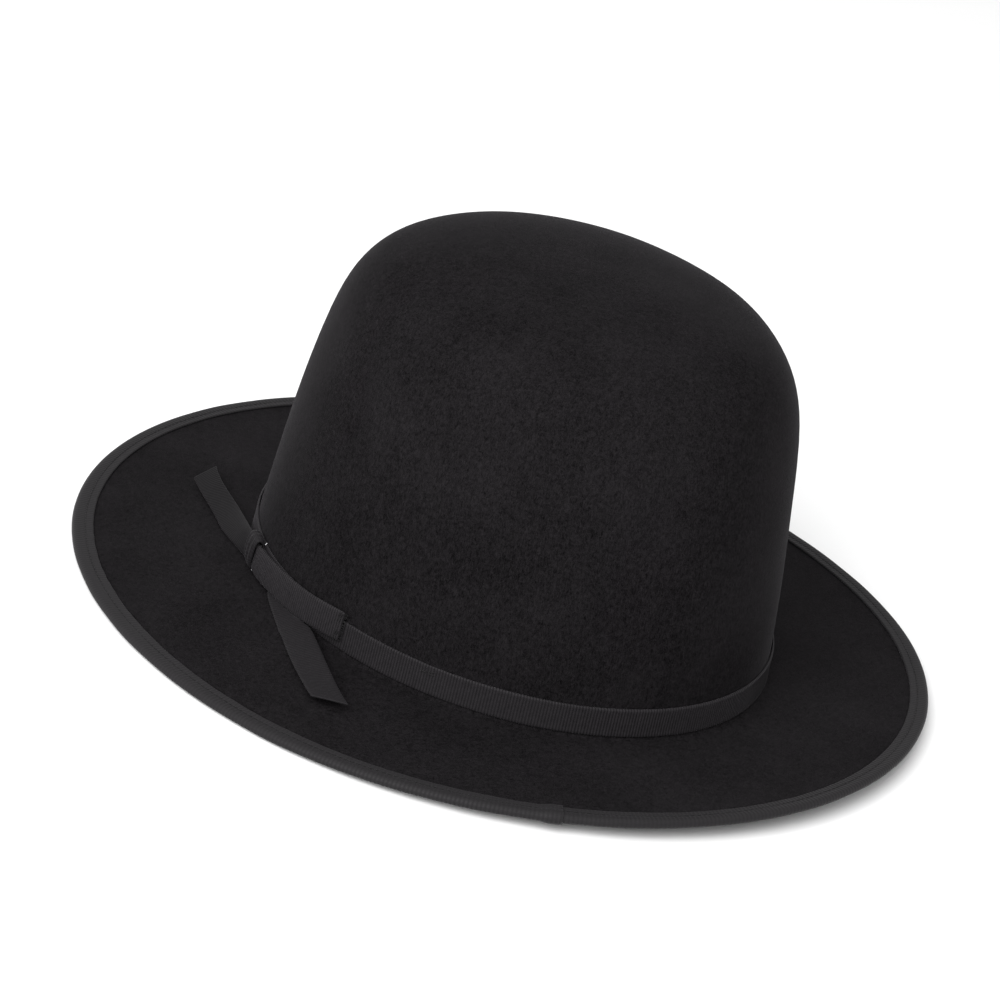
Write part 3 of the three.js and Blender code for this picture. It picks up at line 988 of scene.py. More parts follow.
class StitchMachine:
    """A Geometry Nodes tree that lays stitches along a seam line."""

    def __init__(self) -> None:
        """Builds the tree."""
        self.tree = bpy.data.node_groups.new("stitch_row", "GeometryNodeTree")
        face = self.tree.interface
        face.new_socket("Seam", in_out="INPUT", socket_type="NodeSocketGeometry")
        self.sockets = {
            label: face.new_socket(label, in_out="INPUT", socket_type="NodeSocket" + kind).identifier
            for label, kind in (
                ("Pitch", "Float"),
                ("Length", "Float"),
                ("Thickness", "Float"),
                ("Wander", "Float"),
                ("Seed", "Int"),
                ("Material", "Material"),
            )
        }
        face.new_socket("Stitches", in_out="OUTPUT", socket_type="NodeSocketGeometry")
        self.wire_up()

    def add(self, kind: str, inputs: dict, **settings: object) -> bpy.types.Node:
        """Adds a node, by its full type name."""
        return add_node(self.tree, kind, inputs, settings)

    def wire_up(self) -> None:
        """Adds the nodes: points along the seam, a thread bead on each, realized and dressed."""
        given = self.add("NodeGroupInput", {}).outputs
        points = self.add(
            "GeometryNodeResampleCurve", {"Curve": given["Seam"], "Length": given["Pitch"]}, mode="LENGTH"
        )
        half = self.add("ShaderNodeMath", {0: given["Length"], 1: 0.5}, operation="MULTIPLY").outputs[0]
        width = self.add("ShaderNodeMath", {0: given["Thickness"], 1: 0.5}, operation="MULTIPLY").outputs[0]
        bead = self.add("GeometryNodeMeshUVSphere", {"Segments": 8, "Rings": 6, "Radius": 1.0})
        size = self.add("ShaderNodeCombineXYZ", {"X": half, "Y": width, "Z": width})
        tangent = self.add("GeometryNodeInputTangent", {})
        facing = self.add(
            "FunctionNodeAlignRotationToVector", {"Vector": tangent.outputs["Tangent"]}, axis="X"
        )
        back = self.add("ShaderNodeMath", {0: given["Wander"], 1: -1.0}, operation="MULTIPLY").outputs[0]
        low = self.add("ShaderNodeCombineXYZ", {"X": 0.0, "Y": 0.0, "Z": back})
        high = self.add("ShaderNodeCombineXYZ", {"X": 0.0, "Y": 0.0, "Z": given["Wander"]})
        jitter = self.add(
            "FunctionNodeRandomValue",
            {0: low.outputs[0], 1: high.outputs[0], "Seed": given["Seed"]},
            data_type="FLOAT_VECTOR",
        )
        turned = self.add(
            "FunctionNodeRotateRotation",
            {"Rotation": facing.outputs["Rotation"]},
            rotation_space="LOCAL",
        )
        as_turn = self.add("FunctionNodeEulerToRotation", {"Euler": jitter.outputs["Value"]})
        self.tree.links.new(as_turn.outputs["Rotation"], turned.inputs["Rotate By"])
        laid = self.add(
            "GeometryNodeInstanceOnPoints",
            {
                "Points": points.outputs["Curve"],
                "Instance": bead.outputs["Mesh"],
                "Rotation": turned.outputs["Rotation"],
                "Scale": size.outputs["Vector"],
            },
        )
        real = self.add("GeometryNodeRealizeInstances", {"Geometry": laid.outputs["Instances"]})
        dressed = self.add(
            "GeometryNodeSetMaterial", {"Geometry": real.outputs["Geometry"], "Material": given["Material"]}
        )
        self.add("NodeGroupOutput", {"Stitches": dressed.outputs["Geometry"]})

    def sew(
        self,
        name: str,
        seams: Sequence[np.ndarray],
        pitch: float,
        thickness: float,
        material: bpy.types.Material,
        looped: bool = True,
        reach: float = 0.8,
        wander: float = 0.06,
    ) -> bpy.types.Object:
        """Sews one piece of stitching.

        Args:
            name: The piece's name.
            seams: Lines of places in millimetres.
            pitch: Distance from stitch to stitch, in millimetres.
            thickness: The thread's thickness, in millimetres.
            material: The thread's material.
            looped: Whether each line's end joins its start.
            reach: Length of a stitch as a share of the pitch.
            wander: How far a stitch may turn off the line, in radians.

        Returns:
            The stitches as one plain mesh.
        """
        curve = bpy.data.curves.new(name + "_seam", "CURVE")
        curve.dimensions = "3D"
        for seam in seams:
            spline = curve.splines.new("POLY")
            spline.points.add(len(seam) - 1)
            spline.points.foreach_set("co", np.column_stack([seam * MM, np.ones(len(seam))]).ravel())
            spline.use_cyclic_u = looped
        line = bpy.data.objects.new(name + "_seam", curve)
        bpy.context.scene.collection.objects.link(line)
        modifier = line.modifiers.new("stitches", "NODES")
        modifier.node_group = self.tree
        for label, value in (
            ("Pitch", pitch * MM),
            ("Length", pitch * reach * MM),
            ("Thickness", thickness * MM),
            ("Wander", wander),
            ("Seed", SEED),
            ("Material", material),
        ):
            modifier[self.sockets[label]] = value
        bpy.context.view_layer.update()
        evaluated = line.evaluated_get(bpy.context.evaluated_depsgraph_get())
        mesh = bpy.data.meshes.new_from_object(evaluated)
        line.modifiers.clear()
        bpy.data.objects.remove(line)
        bpy.data.curves.remove(curve)
        close_up(mesh)
        return make_piece(name, mesh)


# ---- Sub-assemblies -----------------------------------------------------------------------


@dataclass
class Workshop:
    """What every sub-assembly is built with."""

    block: HatBlock
    wardrobe: Wardrobe
    machine: StitchMachine

    def sew(
        self,
        name: str,
        seams: Sequence[np.ndarray],
        pitch: float,
        thickness: float,
        replaces: Sequence[str] = (),
        **stitch: float | bool,
    ) -> bpy.types.Object:
        """Sews and dresses one piece of stitching.

        Args:
            name: The piece's name.
            seams: Lines of places in millimetres.
            pitch: Distance from stitch to stitch, in millimetres.
            thickness: The thread's thickness, in millimetres.
            replaces: CAD nodes that it stands for.
            **stitch: What else the machine is told: looped, reach and wander.

        Returns:
            The stitches.
        """
        thread = self.wardrobe.materials[Slot.THREAD]
        stitches = self.machine.sew(name, seams, pitch, thickness, thread, **stitch)
        return self.wardrobe.dress(stitches, Slot.THREAD, replaces)


def join_sections(*sections: tuple[Sequence[float], Sequence[float]]) -> tuple[np.ndarray, np.ndarray]:
    """Strings stretches of a profile together, each given as its radii and heights."""
    radii, heights = zip(*sections)
    return np.concatenate(radii), np.concatenate(heights)


@dataclass
class FeltBody:
    """Crown and brim, blocked from one piece of fur felt, in millimetres."""

    shop: Workshop
    crown_felt: float = 2.4
    brim_felt: float = 2.0
    flat_edge: float = 9.0
    edge_inset: float = 3.05
    edge_rounding: float = 0.8
    break_radius: float = 1.4
    under_flare: float = 0.9
    sides: int = 256
    dents: float = 0.22
    dent_length: float = 46.0
    covered_height: float = 22.0
    dent_fade: float = 20.0

    def top(self, out: np.ndarray) -> np.ndarray:
        """Height of the brim's upper face at distances from the crown.

        Args:
            out: The distances, in millimetres.

        Returns:
            Heights in millimetres.
        """
        block = self.shop.block
        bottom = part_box("felt_body")[0].z / MM
        level = bottom + self.brim_felt
        return level + (block.crown_base - level) * (1 - smooth(out / (block.brim - self.flat_edge)))

    def profile(self) -> tuple[np.ndarray, np.ndarray]:
        """Outline from the outer tip down the crown, round the brim and up to the inner tip.

        Returns:
            Radii and heights.
        """
        block = self.shop.block
        radii_out, heights_out = block.shell(0.0, self.break_radius / block.crown_height, 1.0, 60)
        out = np.linspace(self.break_radius, block.brim - self.edge_inset - self.edge_rounding, 34)
        corner = np.linspace(0, math.pi / 2, 6)[1:-1]
        turn = np.linspace(math.pi / 2, -math.pi / 2, 9)[1:-1]
        half = self.brim_felt / 2
        break_r = block.round_radius + self.break_radius * (1 - np.cos(corner))
        break_z = block.crown_base + self.break_radius * (1 - np.sin(corner))
        edge_r = block.edge - self.edge_inset - self.edge_rounding + self.edge_rounding * np.cos(turn)
        edge_z = self.top(np.array(block.brim)) - half + half * np.sin(turn)
        back = out[::-1]
        under_break = block.round_radius - self.crown_felt + self.under_flare
        return join_sections(
            (radii_out[::-1], heights_out[::-1]),
            (break_r, break_z),
            (block.round_radius + out, self.top(out)),
            (edge_r, edge_z),
            (block.round_radius + back, self.top(back) - self.brim_felt),
            ([under_break], [block.crown_base - self.brim_felt]),
            block.shell(self.crown_felt, 0.0, 1.0, 48),
        )

    def build(self) -> None:
        """Builds and dresses the felt."""
        block = self.shop.block
        radii, heights = self.profile()
        loose = smooth((heights - self.covered_height) / self.dent_fade)[:, None] * (radii > 0.1)[:, None]

        def dented(places: np.ndarray) -> np.ndarray:
            """Soft dents left by blocking and handling, fading out under the band and the binding."""
            return self.dents * loose * unevenness(places, self.dent_length)

        angles = block.even_angles(self.sides)
        piece = ring("felt_shell", block, (radii, heights), angles, dented, closed=False)
        self.shop.wardrobe.dress(piece, Slot.FELT, ["felt_body"])


@dataclass
class BrimBinding:
    """Ribbon folded over the brim's edge and sewn through, with the wire in its fold."""

    shop: Workshop
    cover: float = 7.6
    ribbon: float = 0.5
    height: float = 3.6
    nose: float = 2.2
    stitch_inset: float = 4.6
    stitch_pitch: float = 2.3
    thread: float = 0.34
    lap_angle: float = 48.3
    lap_length: float = 9.0
    lap_rise: float = 0.62
    sides: int = 640

    def outline(self) -> tuple[np.ndarray, np.ndarray, np.ndarray]:
        """The channel's section: radii, heights, and 1 where a point lies on the outer face.

        Returns:
            Radii, heights and the marks of the outer face.
        """
        edge = self.shop.block.edge
        flats = np.array([0.0, 0.35, 0.8, 1.4, 2.0, 2.5, 2.8, 3.1, 3.5, 4.0, 4.6, 5.2])
        groove = 0.16 * bell(flats, self.cover - self.stitch_inset, 0.42)
        raised = 0.12 * bell(flats, 0.5, 0.4) - 0.2 * bell(flats, 0.0, 0.2) - groove
        start = edge - self.cover + flats
        middle = self.height / 2
        nose = np.linspace(-math.pi / 2, math.pi / 2, 15)[1:-1]
        centre = edge - self.nose
        radii, heights = join_sections(
            (start, np.maximum(-raised, 0.0)),
            (centre + self.nose * np.cos(nose), middle + middle * np.sin(nose) * (1 - 0.06 * np.cos(nose))),
            (start[::-1], self.height + raised[::-1]),
            (start, np.full(len(flats), self.height - self.ribbon)),
            (
                centre + (self.nose - self.ribbon) * np.cos(nose[::-1]),
                middle + (middle - self.ribbon) * np.sin(nose[::-1]),
            ),
            (start[::-1], np.full(len(flats), self.ribbon)),
        )
        outer_points = 2 * len(flats) + len(nose)
        outer = np.repeat([1.0, 0.0], outer_points)
        return radii, heights, outer

    def angles(self) -> np.ndarray:
        """Even angles, with a few more where the lapped end steps up.

        Returns:
            The angles, in radians and in order.
        """
        even = self.shop.block.even_angles(self.sides)
        step = math.radians(self.lap_angle) + np.array([-0.0016, -0.0008, 0.0, 0.0008, 0.0016])
        return np.sort(np.concatenate([even, step]))

    def relief(self, angles: np.ndarray, radii: np.ndarray, outer: np.ndarray) -> np.ndarray:
        """Puckers between the stitches and the raised, turned-under end of the ribbon.

        Args:
            angles: Where the section is repeated.
            radii: The section's radii.
            outer: 1 where a point lies on the outer face.

        Returns:
            How far each point stands off the section.
        """
        block = self.shop.block
        lap = math.radians(self.lap_angle)
        before = (lap - angles) * block.edge
        fading = smooth((before - 0.45 * self.lap_length) / (0.55 * self.lap_length))
        raised = np.where(before >= 0, 1 - fading, 0.0) * smooth((before + 0.1) / 0.35)
        places = block.grid(radii, angles, np.zeros(1))
        near_edge = smooth(1 - (radii - (block.edge - self.cover)) / 3.4)[:, None]
        pucker = 0.07 * unevenness(places, 4.5) * near_edge + 0.09 * unevenness(places, 26.0)
        return outer[:, None] * (pucker + self.lap_rise * raised[None, :])

    def seam(self, height: float) -> np.ndarray:
        """The line that one side's stitches follow."""
        block = self.shop.block
        return block.place(block.edge - self.stitch_inset, block.even_angles(720), height)

    def build(self) -> None:
        """Builds, sews and dresses the binding."""
        block = self.shop.block
        radii, heights, outer = self.outline()
        angles = self.angles()
        relief = self.relief(angles, radii, outer)
        piece = ring("binding", block, (radii, heights), angles, relief)
        self.shop.wardrobe.dress(piece, Slot.BINDING, ["brim_binding"])
        rows = [self.seam(self.height - 0.02), self.seam(self.thread / 2 + 0.02)]
        stitches = self.shop.sew(
            "binding_stitches", rows, self.stitch_pitch, self.thread, ["binding_stitch"]
        )
        block.girth(block.edge, self.height) * MM


@dataclass
class HatBand:
    """Ribbed ribbon drawn tight round the foot of the crown."""

    shop: Workshop
    ribbon: float = 0.6
    rib: float = 1.1
    rib_height: float = 0.07
    steps_per_rib: int = 4
    tack_angle: float = 20.0

    def section(self) -> tuple[np.ndarray, np.ndarray, np.ndarray]:
        """The ribbon's section: radii, heights, and how far the ribs stand up at each point.

        Returns:
            Radii, heights and shares of the ribs' height.
        """
        low, high = (corner.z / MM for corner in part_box("hat_band"))
        shares = np.array([0.0, 0.015, 0.06, 0.13, 0.3, 0.5, 0.7, 0.87, 0.94, 0.985, 1.0])
        heights = low + (high - low) * shares
        thin = np.array([0.35, 0.8, 1.12, 1.0, 1.0, 1.0, 1.0, 1.0, 1.12, 0.8, 0.35])
        ribbed = np.array([0.0, 0.5, 1.0, 1.0, 1.0, 1.0, 1.0, 1.0, 1.0, 0.5, 0.0])
        slack = 0.35 * shares**2
        inner = self.shop.block.wall(heights) + 0.05 + slack
        radii = np.concatenate([inner + self.ribbon * thin, inner[::-1]])
        heights = np.concatenate([heights, heights[::-1]])
        return radii, heights, np.concatenate([ribbed, np.zeros(len(ribbed))])

    def build(self) -> None:
        """Builds and dresses the band and its tack."""
        block = self.shop.block
        radii, heights, ribbed = self.section()
        ribs = round(block.girth(block.round_radius + self.ribbon, block.crown_base) / self.rib)
        count = ribs * self.steps_per_rib
        angles = block.even_angles(count)
        wave = np.cos(np.arange(count) * TURN / self.steps_per_rib)
        places = block.grid(radii, angles, heights)
        relief = ribbed[:, None] * self.rib_height * wave[None, :] + 0.06 * unevenness(places, 30.0)
        band = ring("band", block, (radii, heights), angles, relief)
        self.shop.wardrobe.dress(band, Slot.BAND, ["hat_band"])
        length = block.girth(block.round_radius, block.crown_base) * MM
        self.build_tack()

    def build_tack(self) -> None:
        """Two short stitches that hold the band to the crown."""
        block = self.shop.block
        low, high = (corner.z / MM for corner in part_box("band_tack"))
        middle = (low + high) / 2
        angle = math.radians(self.tack_angle)
        half = 1.5 / block.along_crown(angle)
        rows = []
        for lift, lean in ((0.3, 0.35), (-0.3, -0.1)):
            turns = angle + np.linspace(-half, half, 5)
            heights = middle + lift + np.linspace(-lean, lean, 5)
            rows.append(block.place(block.wall(middle) + self.ribbon + 0.42, turns, heights))
        self.shop.sew("band_tack_stitches", rows, 2.2, 0.34, ["band_tack"], looped=False, reach=1.2)


@dataclass(frozen=True)
class RibbonStop:
    """A place along a free ribbon: crown edge, heel and outer edge, each as angle, out and height.

    The heel is where the ribbon folds from standing against the crown to lying on the brim.
    """

    crown_edge: tuple[float, float, float]
    heel: tuple[float, float, float]
    outer_edge: tuple[float, float, float]


@dataclass
class FlatBow:
    """The flat side bow: a doubled loop, a wrapped knot and two free tails."""

    shop: Workshop
    ribbon: Ribbon = Ribbon()
    pressed: Ribbon = Ribbon(rib_height=0.015)
    loop_start: float = -36.5
    loop_end: float = -0.9
    loop_rise: float = 3.5
    knot_angle: float = -36.0
    knot_width: float = 9.4
    tail_cut: float = 6.5
    bend_before: float = 2.0
    pressed_dark: Color = (0.0068, 0.0062, 0.0069)
    pressed_light: Color = (0.0165, 0.0151, 0.0166)
    # Tone of the upper tail: painted shade, the same ribbon drawn darker because it lies differently to the
    # light.
    upper_tail_painted_shade: float = 0.66

    def rails(self, stops: Sequence[RibbonStop], count: int = 80) -> list[np.ndarray]:
        """Three smooth lines through a free ribbon's stops.

        Args:
            stops: The stops, from the knot outwards.
            count: Points on each line.

        Returns:
            The crown edge, the heel and the outer edge, in millimetres.
        """
        block = self.shop.block
        shares = np.linspace(0, 1, count)
        lines = []
        for pick in ("crown_edge", "heel", "outer_edge"):
            stations = smooth_rail([getattr(stop, pick) for stop in stops], shares)
            foot = block.place(block.round_radius + stations[:, 1], np.radians(stations[:, 0]), 0.0)
            foot[:, 2] = stations[:, 2]
            lines.append(foot)
        return lines

    def build_upper_tail(self) -> None:
        """The tail that runs forward from the knot and lies down on the brim."""
        stops = [
            RibbonStop((-34.6, 1.8, 16.0), (-34.6, 1.9, 10.7), (-34.6, 2.0, 5.5)),
            RibbonStop((-38.6, 2.3, 15.8), (-38.4, 2.7, 10.6), (-38.2, 3.0, 5.4)),
            RibbonStop((-44.1, 2.4, 13.9), (-43.5, 3.7, 9.6), (-42.9, 5.4, 5.2)),
            RibbonStop((-51.6, 3.4, 10.4), (-50.4, 7.0, 7.9), (-49.3, 10.6, 5.3)),
            RibbonStop((-60.5, 8.9, 8.0), (-58.8, 12.9, 7.0), (-57.3, 16.9, 5.9)),
            RibbonStop((-71.3, 23.4, 8.0), (-69.5, 26.8, 7.4), (-67.8, 30.4, 6.9)),
        ]
        tail = self.pressed.weave("tail_upper_ribbon", self.rails(stops), cut=self.tail_cut)
        # The upper tail's ribbon is drawn darker as painted shade.
        self.hang(tail, "tail_upper", ["binding", "felt_shell"], 5.0, self.upper_tail_painted_shade)

    def build_lower_tail(self) -> None:
        """The tail that starts behind the loop, slips out under it and lies down on the brim."""
        stops = [
            RibbonStop((-32.5, 1.0, 16.2), (-32.5, 1.0, 6.4), (-32.5, 1.3, 5.6)),
            RibbonStop((-27.0, 1.0, 15.4), (-27.0, 1.05, 6.0), (-26.5, 1.5, 5.4)),
            RibbonStop((-21.0, 1.0, 12.3), (-21.0, 1.6, 6.3), (-21.9, 4.5, 6.0)),
            RibbonStop((-14.6, 1.1, 8.6), (-14.6, 2.0, 6.4), (-14.6, 8.7, 5.1)),
            RibbonStop((-10.6, 2.0, 7.2), (-10.9, 4.6, 6.6), (-10.9, 11.8, 5.1)),
            RibbonStop((-7.0, 3.4, 7.6), (-7.5, 8.4, 6.5), (-8.0, 14.1, 5.1)),
            RibbonStop((-0.5, 9.9, 7.9), (-1.5, 14.9, 6.6), (-2.5, 20.1, 5.3)),
            RibbonStop((6.4, 19.2, 7.9), (5.0, 23.6, 6.6), (3.7, 28.0, 5.6)),
            RibbonStop((13.2, 30.6, 7.9), (11.4, 33.9, 7.1), (9.8, 37.2, 6.3)),
        ]
        tail = self.pressed.weave("tail_lower_ribbon", self.rails(stops), cut=self.tail_cut)
        self.hang(tail, "tail_lower", ["felt_shell"], 7.0)

    def hang(
        self,
        tail: bpy.types.Object,
        body: str,
        rests_on: Sequence[str],
        bend_after: float,
        tone: float = 1.0,
    ) -> None:
        """Dresses a tail, which has its own body, in the pressed finish and leaves it unfastened.

        Args:
            tail: The tail.
            body: The tail's CAD body.
            rests_on: The pieces that it lies on. Not used.
            bend_after: Millimetres past the hinge where the bend would end. Not used.
            tone: Share of the ribbon's tone, under 1 where shade is painted into its colour.
        """
        node = "bow_" + body
        joint = next(j for j in frame["joints"] if j["child"] == body)
        hinge = Vector(joint["pos_m"])
        axis = Vector(joint["axis"])
        onward = Vector((0, 0, 1)).cross(axis).normalized()
        tip = (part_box(node)[0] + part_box(node)[1]) / 2
        if onward.dot(tip - hinge) < 0:
            onward.negate()
        self.shop.wardrobe.dress(tail, Slot.BAND, [node], body=None)
        self.press(tail, tone)
        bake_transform(tail)

    def press(self, piece: bpy.types.Object, tone: float = 1.0) -> None:
        """Gives a piece the finish of pressed ribbon, whose ribs hardly stand up.

        Args:
            piece: The tail or knot.
            tone: Share of the ribbon's tone, under 1 where shade is painted into its colour.
        """
        dark, light = (
            tuple(part * tone for part in color) for color in (self.pressed_dark, self.pressed_light)
        )
        # Below 1, this is a darker copy of the pressed ribbon that paints shade into it.
        name = "pressed_grosgrain" if tone == 1.0 else "painted_shade_grosgrain"
        pressed = Grosgrain(name, dark, light, rib_depth=0.03)
        piece.data.materials.clear()
        piece.data.materials.append(bpy.data.materials.get(name) or pressed.material())

    @staticmethod
    def measured(piece: bpy.types.Object) -> float:
        """Length of a ribbon, read off its own cloth coordinates, in millimetres."""
        cloth = piece.data.uv_layers["cloth"].data
        return max(spot.uv[0] for spot in cloth) / MM

    def build_loop(self) -> None:
        """The doubled loop, which lies along the band and rises a little towards its raw end."""
        block = self.shop.block
        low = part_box("hat_band")[0].z / MM
        layers = []
        share = np.linspace(0, 1, 60)
        gather = 0.8 * (1 - smooth(share / 0.18))
        belly = 0.35 * np.sin(math.pi * share)
        puff = 1.15 * bell(share, 0.1, 0.2)
        flattened = 0.75 * smooth((share - 0.7) / 0.3)
        for name, depth, shorter, narrow in (("loop_outer", 2.55, 0.0, 0.0), ("loop_inner", 1.75, 0.9, 0.35)):
            turns = np.radians(self.loop_start + (self.loop_end - shorter - self.loop_start) * share)
            rails = []
            for side, bellied, puffed in ((1.0, 0.4, 0.75), (0.5, 1.0, 1.0), (0.0, 0.4, 0.75)):
                inset = (gather + narrow) * (1 - 2 * side)
                height = low + self.ribbon.width * side + self.loop_rise * share**1.5 + inset
                out = depth + belly * bellied + puff * puffed - flattened
                rails.append(block.place(block.wall(height) + out, turns, height))
            layers.append(self.ribbon.weave(name, rails, corner=0.2))
        loop = join_pieces("loop", layers)
        self.shop.wardrobe.dress(loop, Slot.BAND, ["bow_loop"])
        length = 2 * math.radians(self.loop_end - self.loop_start) * block.along_crown(math.radians(-18))
        self.build_tacks()

    def loop_spot(self, degrees: float, side: float, out: float) -> np.ndarray:
        """A place on the loop.

        Args:
            degrees: Angle round the hat.
            side: Share of the loop's width, from its lower edge.
            out: Distance off the crown.

        Returns:
            The place, in millimetres.
        """
        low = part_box("hat_band")[0].z / MM
        share = (degrees - self.loop_start) / (self.loop_end - self.loop_start)
        height = low + self.ribbon.width * side + self.loop_rise * share**1.5
        return self.shop.block.place(self.shop.block.wall(height) + out, math.radians(degrees), height)

    def build_tacks(self) -> None:
        """The upright stitches near the loop's raw end, and the frayed weft beyond it."""
        for node, side in (("loop_tack_upper", 0.82), ("loop_tack_lower", 0.18)):
            rows = []
            for shift in (-0.28, 0.28):
                degrees = self.loop_end - 0.9 + shift
                foot = self.loop_spot(degrees, side - 0.09, 2.35)
                head = self.loop_spot(degrees + 0.2, side + 0.09, 2.35)
                rows.append(np.linspace(foot, head, 5))
            self.shop.sew(node + "_stitches", rows, 1.9, 0.36, [node], looped=False, reach=1.15)
        draws = np.random.default_rng(SEED)
        strands = []
        for side in np.linspace(0.02, 0.98, 30):
            reach = draws.uniform(0.25, 1.15)
            lean = draws.uniform(-0.05, 0.05)
            root = self.loop_spot(self.loop_end - 0.2, side, 1.9)
            tip = self.loop_spot(self.loop_end + reach * 0.55, side + lean, 1.5 + draws.uniform(-0.2, 0.5))
            strands.append(np.linspace(root, tip, 4))
        self.shop.sew("loop_fray", strands, 0.45, 0.16, looped=False, reach=1.6, wander=0.3)

    def build_knot(self) -> None:
        """The wrap that gathers loop and tails: ribbon drawn round them in soft folds."""
        block, wardrobe = self.shop.block, self.shop.wardrobe
        low, high = (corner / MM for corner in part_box("bow_knot"))
        bottom, top = low.z + 0.1, high.z - 0.1
        angle = math.radians(self.knot_angle)
        across = np.linspace(-1, 1, 27)
        round_it = np.arange(66) * TURN / 66
        base = block.wall((bottom + top) / 2) + 0.75
        layers = []
        for inward in (0.0, self.ribbon.thickness):
            swell = np.cos(np.minimum(1, np.abs(across)) * math.pi / 2) ** 0.5
            folds = 0.16 * np.cos(across * 3 * math.pi) * (np.abs(across) < 0.98)
            half_deep = 2.0 + 0.6 * swell + folds - inward
            half_high = (top - bottom) / 2 - 0.55 + 0.55 * swell + 0.5 * folds - inward
            rib = self.ribbon.rib_height * np.cos(round_it * 36)[:, None] * (1 if inward == 0 else 0)
            flat = np.sign(np.cos(round_it)) * np.abs(np.cos(round_it)) ** 0.7
            tall = np.sign(np.sin(round_it)) * np.abs(np.sin(round_it)) ** 0.8
            outs = base + 2.3 + (half_deep[None, :] + rib) * flat[:, None]
            rises = (bottom + top) / 2 + (half_high[None, :] + rib) * tall[:, None]
            narrow = self.knot_width / 2 * (1 - 0.1 * np.abs(np.sin(round_it))[:, None])
            lean = 1.1 * tall[:, None]
            turns = angle + (across[None, :] * narrow + lean) / block.along_crown(angle)
            layers.append(block.place(outs, turns, rises))
        tube = np.concatenate([layers[0], layers[1][:, ::-1]], axis=1)
        around = np.arange(67) * (2 * (top - bottom) + 8) / 66
        along = np.concatenate([across, across[::-1] + 2, [3.0]]) * self.knot_width / 2
        piece = skin("knot", np.transpose(tube, (1, 0, 2)), True, True, along, around)
        wardrobe.dress(piece, Slot.BAND, ["bow_knot"])
        self.press(piece)
        self.build_knot_stitches()

    def build_knot_stitches(self) -> None:
        """Dark catch stitches beside the knot and the two clipped thread ends."""
        block = self.shop.block
        low, high = (corner.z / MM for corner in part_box("bow_knot"))
        rows = []
        for degrees, height, out, rise, slide in (
            (-32.6, high - 2.6, 3.4, 1.2, 1.4),
            (-32.9, high - 4.6, 3.7, 0.9, 1.6),
            (-32.8, low + 3.4, 3.7, -0.9, 1.5),
            (-38.2, high - 3.0, 3.2, 1.0, -1.4),
            (-38.4, high - 5.4, 3.6, 0.7, -1.4),
        ):
            turn = math.radians(degrees)
            reach = math.degrees(slide / block.along_crown(turn))
            heights = np.linspace(height - rise / 2, height + rise / 2, 4)
            turns = np.radians(np.linspace(degrees - reach / 2, degrees + reach / 2, 4))
            rows.append(block.place(block.wall(height) + out, turns, heights))
        self.shop.sew("knot_stitches", rows, 1.5, 0.36, looped=False, reach=1.1)
        self.build_thread_ends(low, high)

    def build_thread_ends(self, low: float, high: float) -> None:
        """Two clipped ends of clear nylon thread, above and below the knot, coloured near-white as a painted
        glint.

        Args:
            low: Height of the knot's foot.
            high: Height of its top.
        """
        block = self.shop.block
        # The thread ends are real; their opaque near-white colour is a painted glint of the clear nylon.
        nylon = Drawn("nylon_painted_glint", (0.55, 0.55, 0.56), (0.8, 0.8, 0.82), 0.0, 0.2).material()
        rows = []
        for degrees, height, rise in ((-31.4, high - 0.6, 1.0), (-35.2, low + 0.3, -0.6)):
            turns = np.radians(np.linspace(degrees, degrees + 0.5, 4))
            rows.append(block.place(block.wall(height) + 2.6, turns, np.linspace(height, height + rise, 4)))
        ends = self.shop.sew("thread_ends", rows, 0.5, 0.34, looped=False, reach=1.6)
        ends.data.materials.clear()
        ends.data.materials.append(nylon)

    def build(self) -> None:
        """Builds the whole bow."""
        self.build_lower_tail()
        self.build_loop()
        self.build_upper_tail()
        self.build_knot()


